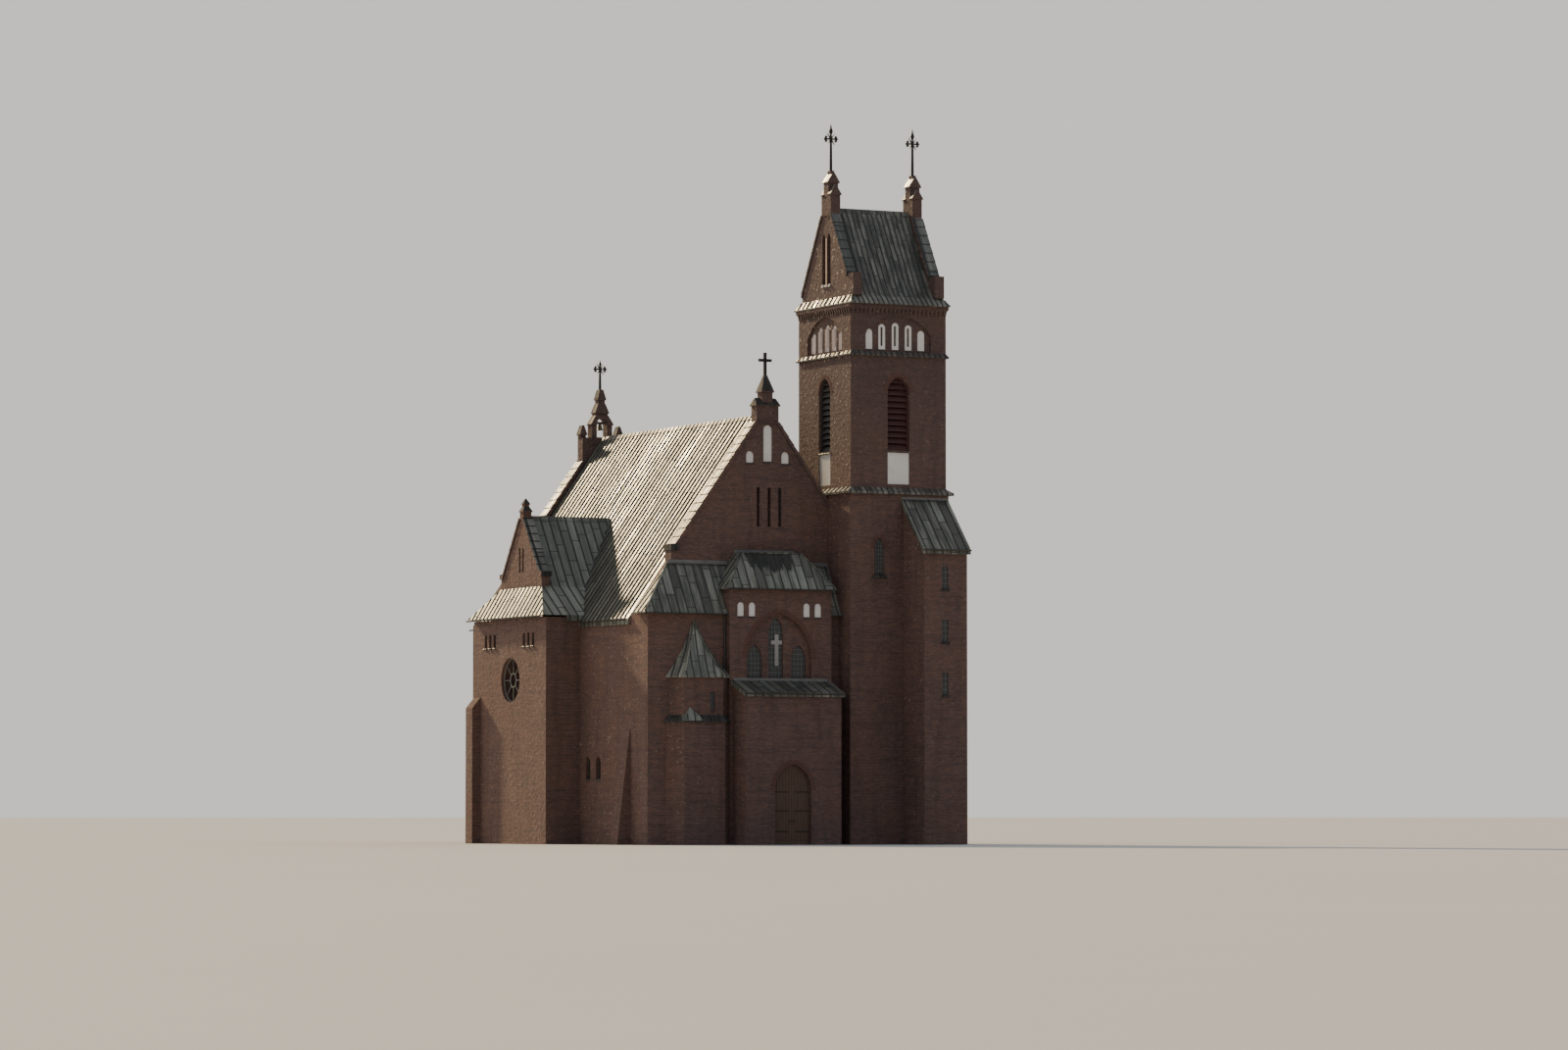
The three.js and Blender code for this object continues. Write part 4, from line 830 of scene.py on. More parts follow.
def tower_ring(side, front, z):
    """Four corners that far outside the tower's walls, at a height."""
    x0, x1 = TOWER_X[0] - side, TOWER_X[1] + side
    y0, y1 = TOWER_Y[0] - front, TOWER_Y[1] + front
    return [(x0, y0, z), (x1, y0, z), (x1, y1, z), (x0, y1, z)]


def skirt_slopes(foot, top):
    """The four slopes of a sloping strip round the tower: front, right, back and left."""
    return [[a, b, d, c] for (a, b), (c, d) in zip(sides_of(foot), sides_of(top))]


eaves_slopes = skirt_slopes(tower_ring(0.15, 0.28, 29.2), tower_ring(-0.12, -0.12, 29.6))
lower_slopes = skirt_slopes(tower_ring(0.32, 0.32, 18.983), tower_ring(0.0, 0.0, 19.23))
upper_slopes = skirt_slopes(tower_ring(0.13, 0.13, 26.407), tower_ring(0.0, 0.0, 26.58))
seam_piece("tower_seams", tower_slopes + eaves_slopes[::2], NARROW_SHEET, 0.03, 0.04)
seam_piece("tower_lower_string_seams", lower_slopes[::2], STRING_SHEET, 0.03, 0.03)
seam_piece("tower_upper_string_seams", upper_slopes[::2], STRING_SHEET, 0.03, 0.03)

# %% [markdown]
# On the tower's left and right sides the sheets of these three strips are wider and their
# seams are heavier, so each of those sides has a row of its own.

# %% Strips on the tower's sides
SIDE_SHEET = 0.52
seam_piece("tower_eaves_side_seams", eaves_slopes[1::2], SIDE_SHEET, 0.045, 0.05)
seam_piece("lower_string_side_seams", lower_slopes[1::2], SIDE_SHEET, 0.045, 0.045)
seam_piece("upper_string_side_seams", upper_slopes[1::2], SIDE_SHEET, 0.045, 0.045)

# %% Slopes of the chancel
CHANCEL_EAVE = 10.59
CHANCEL_RIDGE = 17.4
LEFT_CORNERS = [(-8.55, NAVE_BACK), (-8.55, 29.7), (-6.4, 33.15)]
LEFT_EAVES = [(x, y, CHANCEL_EAVE) for x, y in LEFT_CORNERS]
CHANCEL_EAVES = LEFT_EAVES + other_side(LEFT_EAVES)[::-1]
RIDGE_START = (NAVE_MID, NAVE_BACK, CHANCEL_RIDGE)
RIDGE_END = (NAVE_MID, 29.4, CHANCEL_RIDGE)
chancel_slopes = [[*CHANCEL_EAVES[:2], RIDGE_END, RIDGE_START]]
for first, second in zip(CHANCEL_EAVES[1:4], CHANCEL_EAVES[2:5]):
    chancel_slopes.append([first, second, RIDGE_END])
chancel_slopes.append([CHANCEL_EAVES[5], RIDGE_START, RIDGE_END, CHANCEL_EAVES[4]])
seam_piece("chancel_seams", chancel_slopes, WIDE_SHEET)

# %% Slopes of the canted bay
CANT_EAVES = [(-10.491, 1.15), (-9.862, 0.2), (-7.439, 0.2), (-6.95, 0.69), (-6.95, 1.15)]
CANT_PEAK = (-8.85, 1.15)
CANT_TIERS = [(1.0, 8.93), (0.74, 9.48), (0.36, 10.51), (0.02, 11.87)]
CANT_BANDS = list(zip(CANT_TIERS, CANT_TIERS[1:]))


def cant_point(corner, share, z):
    """A point between the roof's peak and a corner of its eaves."""
    x, y = [middle + (out - middle) * share for out, middle in zip(corner, CANT_PEAK)]
    return (x, y, z)


cant_slopes = []
for left, right in zip(CANT_EAVES, CANT_EAVES[1:]):
    for low, high in CANT_BANDS:
        foot = [cant_point(left, *low), cant_point(right, *low)]
        cant_slopes.append(foot + [cant_point(right, *high), cant_point(left, *high)])
seam_piece("canted_bay_seams", cant_slopes, CANT_SHEET)

# %% [markdown]
# ## Walls and arches
# Niches, windows and sills all lie in flat upright walls. A wall is described once: along it
# runs u, upward z, and depth goes into it. An arch is two arcs that leave the sides upright
# and meet at the top; a round arch is the same with its rise equal to its half width.


# %% A wall and what lies in it
class Wall:
    """A flat upright wall, along "x" or "y", at one face, with its inside on one side."""

    def __init__(self, along, face, inward):
        self.along = along
        self.face = face
        self.inward = inward

    def point(self, u, z, depth=0.0):
        level = self.face + self.inward * depth
        return at(u, level, z) if self.along == "x" else at(level, u, z)

    def into(self, depth):
        """A step from the wall's face inward."""
        return self.point(0, 0, depth) - self.point(0, 0)

    def bar(self, start, end, depth=0.0):
        """The line of a bar that stands on the wall, from one u and z to another."""
        return self.point(*start, depth), self.point(*end, depth), self.into(-1)

    def slab(self, outline, front, back):
        """An outline at one depth, and the way to another depth."""
        return [self.point(u, z, back) for u, z in outline], self.into(front - back)

    def rail(self, u0, u1, profile):
        """A profile of depths and heights, and the way along the wall."""
        return [self.point(u0, z, d) for d, z in profile], self.point(u1, 0) - self.point(u0, 0)

    def sill(self, mid, half, out, depth, low, lip, back):
        """A block with a level foot, whose top slopes from its back down to its lip."""
        profile = [(-out, low), (-out, lip), (depth, back), (depth, low)]
        return self.rail(mid - half, mid + half, profile)


gable_wall = Wall("x", NAVE_FRONT, 1)
bay_wall = Wall("x", 0.65, 1)
tower_front = Wall("x", -0.1, 1)
TOWER_WALLS = {
    "front": (Wall("x", TOWER_Y[0], 1), TOWER_MID_X),
    "back": (Wall("x", TOWER_Y[1], -1), TOWER_MID_X),
    "left": (Wall("y", TOWER_X[0], 1), TOWER_MID_Y),
    "right": (Wall("y", TOWER_X[1], -1), TOWER_MID_Y),
}
print("walls of the tower:", ", ".join(TOWER_WALLS))


# %% Boxes and arches
def boxed(mid, half, foot, top):
    return [(mid - half, foot), (mid + half, foot), (mid + half, top), (mid - half, top)]


def arch_arc(half, spring, apex):
    """Radius of an arch's two arcs, and the angle that each of them turns through."""
    rise = apex - spring
    radius = (half * half + rise * rise) / (2 * half)
    return radius, math.asin(min(1.0, rise / radius))


def arched(mid, half, foot, spring, apex, steps=5):
    """The outline of an arch, from its right foot over the top to its left foot."""
    radius, sweep = arch_arc(half, spring, apex)
    turns = [sweep * i / steps for i in range(steps + 1)]
    side = [(half - radius + radius * math.cos(a), spring + radius * math.sin(a)) for a in turns]
    right = [(half, foot)] + side
    left = [(-u, z) for u, z in reversed(right[:-1])]
    return [(mid + u, z) for u, z in right + left]


def slotted(outline, mid, slit, low, high):
    """The two halves of an arch, with a slot left open between them."""
    right = [(u - mid, z) for u, z in outline if u > mid - 0.001]
    edge = [(0, high), (slit, high), (slit, low), (0, low), (0, right[0][1])]
    return [[(mid + side * u, z) for u, z in right + edge] for side in (1, -1)]


# %% [markdown]
# ## White plaster
# Niches and panels are blind openings whose backs are plastered nearly white. On the real
# wall the plaster is a slab a few centimetres thick that fills the back of the niche, so each
# is drawn as the outline of its niche and extruded from the niche's back. In the tower's top
# row, the middle three slabs are parted by a slit that is open to the inside. On the tower's
# left and right sides the plaster is a duller, darker copy, as painted shade in the deep
# niches, and thin linings show at the niches' sides.

# %% Niches of the tower's top stage
NICHE_OFFSETS = (-1.74, -0.95, -0.13, 0.67, 1.45)
NICHE_TOPS = (27.8, 28.08, 28.17, 28.08, 27.8)
NICHE_HALF = 0.215
NICHE_FOOT = 26.7
NICHE_DEPTHS = (0.15, 0.262)
SLIT_HALF, SLIT_FOOT, SLIT_DROP = 0.07, 26.9, 0.17
LINING_HALF = 0.01
LINING_DEPTHS = (0.085, 0.149)
for side, (wall, mid) in TOWER_WALLS.items():
    slabs_here = []
    for i, (offset, top) in enumerate(zip(NICHE_OFFSETS, NICHE_TOPS)):
        u = mid + offset
        parts = [arched(u, NICHE_HALF, NICHE_FOOT, top - NICHE_HALF, top)]
        if 0 < i < len(NICHE_TOPS) - 1:
            parts = slotted(parts[0], u, SLIT_HALF, SLIT_FOOT, top - SLIT_DROP)
        slabs_here += [wall.slab(part, *NICHE_DEPTHS) for part in parts]
        if wall.along == "y":
            reach = NICHE_HALF - LINING_HALF
            for edge in (u - reach, u + reach):
                lining = boxed(edge, LINING_HALF, NICHE_FOOT, top - NICHE_HALF)
                slabs_here.append(wall.slab(lining, *LINING_DEPTHS))
    niches = drawn_piece(f"tower_{side}_niche_plaster", slabs_here)
    # On the left and right sides the plaster is the darker copy, as painted shade.
    close_piece(niches, shade_painted_plaster if wall.along == "y" else plaster)

# %% Panels under the louvres
PANEL = (0.665, 19.42, 21.13)
PANEL_DEPTHS = (0.05, 0.092)
for side, (wall, mid) in TOWER_WALLS.items():
    panel = drawn_piece(f"tower_{side}_panel", [wall.slab(boxed(mid, *PANEL), *PANEL_DEPTHS)])
    close_piece(panel, plaster, 0.008)

# %% Niches of the front gable and of the portal bay
GABLE_NICHES = [(0.065, 0.265, 20.59, 22.57), (-1.01, 0.23, 20.5, 21.14), (1.12, 0.23, 20.5, 21.14)]
GABLE_DEPTHS = (0.08, 0.152)
gable_slabs = []
for offset, half, foot, top in GABLE_NICHES:
    outline = arched(NAVE_MID + offset, half, foot, top - half, top)
    gable_slabs.append(gable_wall.slab(outline, *GABLE_DEPTHS))
close_piece(drawn_piece("front_gable_plaster", gable_slabs), plaster)
BAY_NICHES = (-6.29, -5.61, -2.33, -1.65)
BAY_NICHE = (0.195, 12.165, 12.72, 12.915)
BAY_DEPTHS = (0.06, 0.122)
bay_slabs = [bay_wall.slab(arched(x, *BAY_NICHE), *BAY_DEPTHS) for x in BAY_NICHES]
close_piece(drawn_piece("portal_bay_plaster", bay_slabs), plaster)

# %% [markdown]
# One slot of the front gable is filled with slats, like a small louvre, and each niche stands
# on a thin dark sill. A slat is a thin bar laid across the slot and tilted, so that rain runs
# off outward. A sill is a small profile extruded along the wall.

# %% Slats in a slot of the front gable
SLAT_SLOPE = Vector((0, -0.7, 0.7))
SLAT_X = (NAVE_MID + 0.70, NAVE_MID + 0.88)
SLATS = 14
LOWEST_SLAT = 17.15
SLAT_DEPTH = 0.06
slat_bars = []
for i in range(SLATS):
    z = LOWEST_SLAT + 0.15 * i
    ends = [gable_wall.point(x, z, SLAT_DEPTH) for x in SLAT_X]
    slat_bars.append((*ends, SLAT_SLOPE))
close_piece(lay_bars("gable_slot_slats", slat_bars, 0.06, 0.02), boards_y)

# %% Sills under the niches, dark and thin
niche_sills = []
for offset, half, foot, _ in GABLE_NICHES:
    heights = (foot - 0.07, foot - 0.04, foot + 0.01)
    niche_sills.append(gable_wall.sill(NAVE_MID + offset, half + 0.04, 0.05, 0.07, *heights))
for x in BAY_NICHES:
    niche_sills.append(bay_wall.sill(x, 0.23, 0.04, 0.05, 12.10, 12.12, 12.17))
close_piece(drawn_piece("niche_sills", niche_sills), copper_cap, 0.004)

# %% [markdown]
# Between the two slots of each tower gable stands a thin mullion of pale plaster, whose warm
# peach tone is partly painted sunlight, and three small white blocks make their sills. They
# catch the sun on the left side.

# %% Mullions and sills of the tower's gables
MULLION = (TOWER_MID_Y, 0.06, 30.42, 32.9)
# The peach warmth of these tones is painted sunlight over a pale plaster.
MULLION_SUNLIT_TONES = ((0.80, 0.52, 0.37, 1), (0.55, 0.37, 0.28, 1))
mullions = []
white_sills = []
for gable_face in (Wall("y", 0.12, 1), Wall("y", 5.72, -1)):
    mullions.append(gable_face.slab(boxed(*MULLION), -0.02, 0.0))
    for offset in (-0.4, 0.0, 0.4):
        place = (TOWER_MID_Y + offset, 0.08)
        white_sills.append(gable_face.sill(*place, 0.09, 0.0, 30.24, 30.32, 30.40))
sunlit_painted_plaster = worn_finish("sunlit_painted_plaster", MULLION_SUNLIT_TONES, 2.0, 0.6, 0.8)
close_piece(drawn_piece("tower_gable_mullions", mullions), sunlit_painted_plaster, 0.006)
close_piece(drawn_piece("tower_gable_sills", white_sills), plaster, 0.006)

# %% [markdown]
# ## Windows
# The windows are leaded panes between thin bars, a little way into the wall. A pane is
# drawn to its arch with a rim round a sunken middle, and a grid of bars lies on it: upright
# ones up to the arch, level ones as wide as the arch is at their height. A sill slopes out
# below it. A window is given by its middle, its half width, and the heights of its foot, of
# the start of its arch and of its top.


# %% Panes, bars and sills
def grid_lines(mid, half, foot, spring, apex, across, upward):
    """Lines of a grid inside an arch."""
    radius, _ = arch_arc(half, spring, apex)
    lines = []
    columns = max(2, round(2 * half / across))
    for i in range(1, columns):
        u = half * (2 * i / columns - 1)
        rise = math.sqrt(radius**2 - (abs(u) + radius - half) ** 2)
        lines.append(((mid + u, foot), (mid + u, spring + rise)))
    rows = round((apex - foot) / upward)
    for j in range(1, rows):
        z = foot + (apex - foot) * j / rows
        over = max(0.0, z - spring)
        reach = half - radius + math.sqrt(radius**2 - over**2)
        lines.append(((mid - reach, z), (mid + reach, z)))
    return lines


def window_panes(name, windows, depth, finish):
    solids = [wall.slab(arched(*shape), depth - 0.03, depth + 0.03) for wall, shape in windows]
    return close_piece(drawn_piece(name, solids, 0.035, 0.02), finish)


def window_bars(name, windows, depth, across, upward, width, finish):
    bars = []
    for wall, shape in windows:
        bars += [wall.bar(*line, depth) for line in grid_lines(*shape, across, upward)]
    return close_piece(lay_bars(name, bars, width, 0.02), finish)


def window_sills(name, windows, finish, slot, out, depth, drop=0.07, side=0.03):
    """Sloping sills that stand out under the windows."""
    solids = []
    for wall, (mid, half, foot, *_) in windows:
        heights = (foot - drop, foot - 0.03, foot + 0.05)
        solids.append(wall.sill(mid, half + side, out, depth, *heights))
    return close_piece(drawn_piece(name, solids), finish, 0.006)


def leaded_windows(name, windows, depth, grid, sill, kind):
    """The panes of a row of windows, the bars just before them, and the sills."""
    pane_finish, bar_finish, sill_finish = kind
    window_panes(f"{name}_panes", windows, depth, pane_finish)
    window_bars(f"{name}_bars", windows, depth - 0.03, *grid, bar_finish)
    window_sills(f"{name}_sills", windows, sill_finish, "copper_trim", *sill)


# %% Windows of the tower, the stair annex and the canted bay
PALE_KIND = (grey_glass, lead, copper_cap)
TOWER_WINDOW = (0.3, 14.5, 15.9, 16.5)
FRONT_WINDOW_X = 1.7
tower_windows = [(tower_front, (FRONT_WINDOW_X, *TOWER_WINDOW))]
tower_windows.append((Wall("y", 5.94, -1), (TOWER_MID_Y, *TOWER_WINDOW)))
tower_grid = (0.15, 0.22, 0.03)
tower_sill = (0.09, 0.15, 0.19, 0.11)
leaded_windows("tower_window", tower_windows, 0.18, tower_grid, tower_sill, PALE_KIND)
annex_wall = Wall("x", -2.45, 1)
annex_windows = []
for foot in (8.0, 10.85, 13.7):
    annex_windows.append((annex_wall, (4.44, 0.185, foot, foot + 1.15, foot + 1.2)))
annex_grid = (0.2, 0.3, 0.03)
annex_sill = (0.07, 0.09, 0.12, 0.06)
leaded_windows("annex_window", annex_windows, 0.09, annex_grid, annex_sill, PALE_KIND)
CANT_WINDOW = (-8.1, 0.135, 7.1, 8.06, 8.1)
cant_window = [(Wall("x", 0.35, 1), CANT_WINDOW)]
window_panes("canted_bay_pane", cant_window, 0.14, grey_glass)
window_sills("canted_bay_sill", cant_window, arch_brick, "brick", 0.04, 0.12)

# %% Windows of the nave and the chancel
DARK_KIND = (glass, iron, copper_trim)
IRON_GRID = (0.2, 0.27, 0.022)
COPPER_SILL = (0.06, 0.25)
WINDOW_DEPTH = 0.22
NAVE_WINDOW = (0.3, 3.5, 4.35, 4.75)
nave_sides = (Wall("y", -11.55, 1), Wall("y", 3.95, -1))
nave_windows = [(wall, (y, *NAVE_WINDOW)) for wall in nave_sides for y in (7.3, 8.6)]
leaded_windows("nave_window", nave_windows, WINDOW_DEPTH, IRON_GRID, COPPER_SILL, DARK_KIND)
CHANCEL_WINDOW = (0.4, 4.2, 7.4, 8.1)
chancel_sides = (Wall("y", NAVE_MID - 4.5, 1), Wall("y", NAVE_MID + 4.5, -1))
chancel_windows = [(wall, (y, *CHANCEL_WINDOW)) for wall in chancel_sides for y in (25.6, 27.9)]
chancel_windows.append((Wall("x", 32.9, -1), (NAVE_MID, *CHANCEL_WINDOW)))
leaded_windows("chancel_window", chancel_windows, WINDOW_DEPTH, IRON_GRID, COPPER_SILL, DARK_KIND)

# %% [markdown]
# The portal's three windows stand in one recess. An outer pane with pale bars is set close
# behind the recess, and a cross of pale stone is set into the middle one.

# %% Windows of the portal
PORTAL_HALF, PORTAL_FOOT = 0.435, 8.905
PORTAL_WINDOWS = [(-5.36, 9.9, 10.69), (-4.1, 11.3, 12.16), (-2.74, 9.9, 10.69)]
PORTAL_PANE = 0.15
recess_wall = Wall("x", 0.85, 1)
portal_windows = []
for mid, spring, apex in PORTAL_WINDOWS:
    portal_windows.append((recess_wall, (mid, PORTAL_HALF, PORTAL_FOOT, spring, apex)))
window_panes("portal_panes", portal_windows, PORTAL_PANE, grey_glass)
window_bars("portal_bars", portal_windows, PORTAL_PANE - 0.03, 0.22, 0.27, 0.03, lead)
CROSS_SHAFT = boxed(-4.02, 0.11, 9.55, 11.23)
CROSS_ARM = boxed(-4.02, 0.33, 10.69, 10.91)
cross_slabs = [recess_wall.slab(CROSS_SHAFT, 0.05, 0.12), recess_wall.slab(CROSS_ARM, 0.045, 0.12)]
close_piece(drawn_piece("portal_stone_cross", cross_slabs), stone, 0.012)
window_sills("portal_sills", portal_windows, copper_cap, "copper_trim", 0.04, 0.11)

# %% [markdown]
# Each transept has a round window over two rows of slits. Round windows of this kind have
# tracery: here a ring with eight spokes and a small hub, made from a torus and bars.

# %% Windows of the transepts
ROSE_Y, ROSE_Z, ROSE_RADIUS = 14.3, 8.96, 1.225
HUB_RADIUS = 0.38
SPOKES = 8
SLIT_ROWS = (11.9, 17.0)
SLIT = (0.15, 10.8, 11.35, 11.5)
RING = {"major_segments": 32, "minor_segments": 6, "minor_radius": 0.045}
for side, wall in (("left", Wall("y", -13.6, 1)), ("right", Wall("y", 6.0, -1))):
    deselect()
    ring = {"location": wall.point(ROSE_Y, ROSE_Z, 0.2), "rotation": (0, math.radians(90), 0), **RING}
    bpy.ops.mesh.primitive_torus_add(major_radius=ROSE_RADIUS - 0.03, **ring)
    tracery = open_piece(f"{side}_rose_tracery")
    bpy.ops.mesh.primitive_torus_add(major_radius=HUB_RADIUS, **ring)
    for i in range(SPOKES):
        turn = math.radians(360 / SPOKES * i)
        across, upward = math.cos(turn), math.sin(turn)
        ends = [(ROSE_Y + r * across, ROSE_Z + r * upward) for r in (HUB_RADIUS - 0.02, ROSE_RADIUS)]
        add_bar(*wall.bar(*ends, 0.235), 0.04, 0.06)
    close_piece(tracery, lead)
    slits = []
    for row in SLIT_ROWS:
        slits += [(wall, (row + offset, *SLIT)) for offset in (-0.6, 0, 0.6)]
    window_bars(f"{side}_transept_bars", slits, 0.3, 0.15, 0.2, 0.022, iron)
    window_sills(f"{side}_transept_sills", slits, copper_trim, "copper_trim", 0.08, 0.2)

# %% [markdown]
# ## Round the louvres
# A row of bricks stands on end round each pointed opening of the bell stage, a few
# millimetres proud, and a sloping metal sill throws the rain off. A brick is a short bar laid
# outward from the arch, so the ring is built as a mason builds it.

# %% Arch bricks and sills of the tower
LOUVRE_HALF, LOUVRE_SILL = 0.67, 21.25
LOUVRE_ARCH = (24.41, 25.24)
ARCH_PITCH = 0.085
BRICK_END = (0.066, 0.012)


def ring_bricks(wall, mid, half, spring, apex):
    """Bricks on end along both arcs of an arch."""
    radius, sweep = arch_arc(half, spring, apex)
    count = int(sweep * radius / ARCH_PITCH)
    bars = []
    for side in (-1, 1):
        for i in range(count):
            turn = sweep * (i + 0.5) / count
            ends = []
            for reach in (radius + 0.005, radius + 0.25):
                u = mid + side * (half - radius + reach * math.cos(turn))
                ends.append((u, spring + reach * math.sin(turn)))
            bars.append(wall.bar(*ends))
    return bars


for side, (wall, mid) in TOWER_WALLS.items():
    ring = ring_bricks(wall, mid, LOUVRE_HALF, *LOUVRE_ARCH)
    close_piece(lay_bars(f"louvre_{side}_arch", ring, *BRICK_END), arch_brick)
    heights = (LOUVRE_SILL - 0.12, LOUVRE_SILL - 0.09, LOUVRE_SILL + 0.02)
    ledge = [wall.sill(mid, LOUVRE_HALF + 0.04, 0.05, 0.15, *heights)]
    close_piece(drawn_piece(f"louvre_{side}_sill", ledge), copper_trim, 0.006)

# %% Arch bricks of the tower's window, the portal and the porch
PORTAL_ARCH = (-4.0, 1.95, 9.9, 12.36)
PORCH_ARCH = (-3.95, 1.1, 2.9, 4.3)
half, _, spring, apex = TOWER_WINDOW
other_arches = ring_bricks(tower_front, FRONT_WINDOW_X, half, spring, apex)
other_arches += ring_bricks(bay_wall, *PORTAL_ARCH)
other_arches += ring_bricks(Wall("x", -0.9, 1), *PORCH_ARCH)
close_piece(lay_bars("front_arch_bricks", other_arches, *BRICK_END), arch_brick)

# %% [markdown]
# ## Ironwork
# The crosses on the tower and on the rear gable are wrought iron: a tapering shaft that ends
# in a spear, arms with three knobs at each end, and four rays between them. The flat parts
# are drawn and extruded, and the knobs start as short cylinders with their rims bevelled.

# %% Wrought crosses
IRON_THICK = 0.07


def knob(x, y, z, radius, deep):
    face_on = (math.radians(90), 0, 0)
    size = {"vertices": 12, "radius": radius, "depth": deep}
    bpy.ops.mesh.primitive_cylinder_add(location=at(x, y, z), rotation=face_on, **size)


def wrought_cross(name, replaced, x, y, foot, head, top, reach):
    """A cross whose arms reach out at the height of its head, in place of a plain solid."""
    wall = Wall("x", y - IRON_THICK / 2, 1)
    tip = top - head
    spear = [(0.045, head + 0.25), (0.115, head + 0.5 * tip), (0.045, head + 0.72 * tip)]
    right = [(0.075, foot), (0.055, head - 0.2)] + spear
    outline = right + [(0, top)] + [(-u, z) for u, z in reversed(right)]
    flats = [[(x + u, z) for u, z in outline]]
    flats.append(boxed(x, reach - 0.1, head - 0.042, head + 0.042))
    for across in (-1, 1):
        for upward in (-1, 1):
            point = (x + across * reach * 0.55, head + upward * reach * 0.78)
            root = (0.034 * upward, 0.034 * across)
            flats.append([(x - root[0], head + root[1]), point, (x + root[0], head - root[1])])
    piece = drawn_piece(name, [wall.slab(flat, 0, IRON_THICK) for flat in flats])
    knob(x, y, head, 0.09, 0.08)
    for across in (-1, 1):
        end = x + across * (reach - 0.075)
        knob(end, y, head, 0.075, 0.08)
        for upward in (-1, 1):
            knob(end - across * 0.05, y, head + upward * 0.11, 0.068, 0.076)
    close_piece(piece, iron, 0.004)
    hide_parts(replaced)
    return piece


# Where a cross stands, its foot, head and top, and how far its arms reach.
tower_place = (0.395, TOWER_MID_Y, 36.61, 38.36, 39.19, 0.42)
rear_place = (NAVE_MID, BELL_Y, 25.93, 27.11, 27.61, 0.41)
tower_cross = wrought_cross("tower_left_ironwork", "tower_left_cross", *tower_place)
right_cross = moved_copy(tower_cross, "tower_right_ironwork", (5.05, 0, 0))
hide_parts("tower_right_cross")
wrought_cross("rear_ironwork", "rear_cross", *rear_place)

# %% [markdown]
# ## Ridges, hips and flashings
# Copper sheets stop a few centimetres short of a ridge, and a folded cap covers the gap. Where
# a roof ends at a wall, a strip is dressed up the brick. Both are long strips of one profile,
# so each is drawn once across and extruded along. A hip's cap is a bar laid along the edge.

# %% Ridge caps
ARM_RIDGE_X = (-12.38, nave_x(17.9))


def ridge_profile(z, slope, reach=0.16):
    drop = reach * slope
    under = [(-reach, z - drop), (0, z), (reach, z - drop)]
    return under + [(d, height + 0.04) for d, height in reversed(under)]


def ridge_cap(along, line, ends, z, slope, *reach):
    return Wall(along, line, 1).rail(*ends, ridge_profile(z, slope, *reach))


arm_slope = (ARM_RIDGE - ARM_KNEE) / 2.7
mirrored_x = [2 * NAVE_MID - x for x in ARM_RIDGE_X]
ridges = [
    ridge_cap("y", NAVE_MID, (3.34, 23.2), NAVE_RIDGE, NAVE_SLOPE),
    ridge_cap("y", NAVE_MID, (24.1, 29.4), CHANCEL_RIDGE, 1.434),
    ridge_cap("x", TOWER_MID_Y, (0.75, 5.09), TOWER_RIDGE, 1.75, 0.13),
    ridge_cap("x", ARM_MID, ARM_RIDGE_X, ARM_RIDGE, arm_slope),
    ridge_cap("x", ARM_MID, mirrored_x, ARM_RIDGE, arm_slope),
]
close_piece(drawn_piece("ridge_caps", ridges), copper_wide, 0.01)

# %% Hip caps
hips = [
    (at(*BAY_FEET[0]), at(*BAY_RIDGE[0]), Vector((-0.4, -0.5, 1))),
    (at(*BAY_FEET[1]), at(*BAY_RIDGE[1]), Vector((0.4, -0.5, 1))),
    (at(*BAY_RIDGE[0]), at(*BAY_RIDGE[1]), Vector((0, -0.4, 1))),
    (at(*NARTHEX_HIP[0]), at(*NARTHEX_HIP[1]), Vector((-0.5, -0.6, 1))),
]
for corner in CHANCEL_EAVES[1:-1]:
    outward = Vector((corner[0] - RIDGE_END[0], corner[1] - RIDGE_END[1], 4.0))
    hips.append((at(*corner), at(*RIDGE_END), outward))
for corner in CANT_EAVES[1:4]:
    outward = Vector((corner[0] - CANT_PEAK[0], corner[1] - CANT_PEAK[1], 1.0))
    for low, high in CANT_BANDS:
        hips.append((at(*cant_point(corner, *low)), at(*cant_point(corner, *high)), outward))
close_piece(lay_bars("hip_caps", hips, 0.11, 0.05), copper_wide, 0.012)


# %% Flashings
def flashing(z, up=0.2, out=0.12):
    return [(-out, z - 0.02), (0.0, z - 0.02), (0.0, z + up), (-0.015, z + up), (-0.03, z + 0.03)]


flashings = [
    gable_wall.rail(-9.75, -6.19, flashing(15.0)),
    gable_wall.rail(-5.75, -2.15, flashing(15.6)),
    gable_wall.rail(-1.68, -0.1, flashing(15.0)),
    tower_front.rail(3.03, 5.9, flashing(18.58, 0.16)),
    bay_wall.rail(-6.74, -1.06, flashing(8.72, 0.16)),
]
close_piece(drawn_piece("wall_flashings", flashings), lead, 0.004)

# %% [markdown]
# The left foot of the front gable ends in a brick block under a dark cap, and a low copper
# pyramid leans on the canted bay above its ledge. The cap is one outline extruded through the
# wall, and the pyramid is a flat outline raised from the ledge, its top merged to one point.

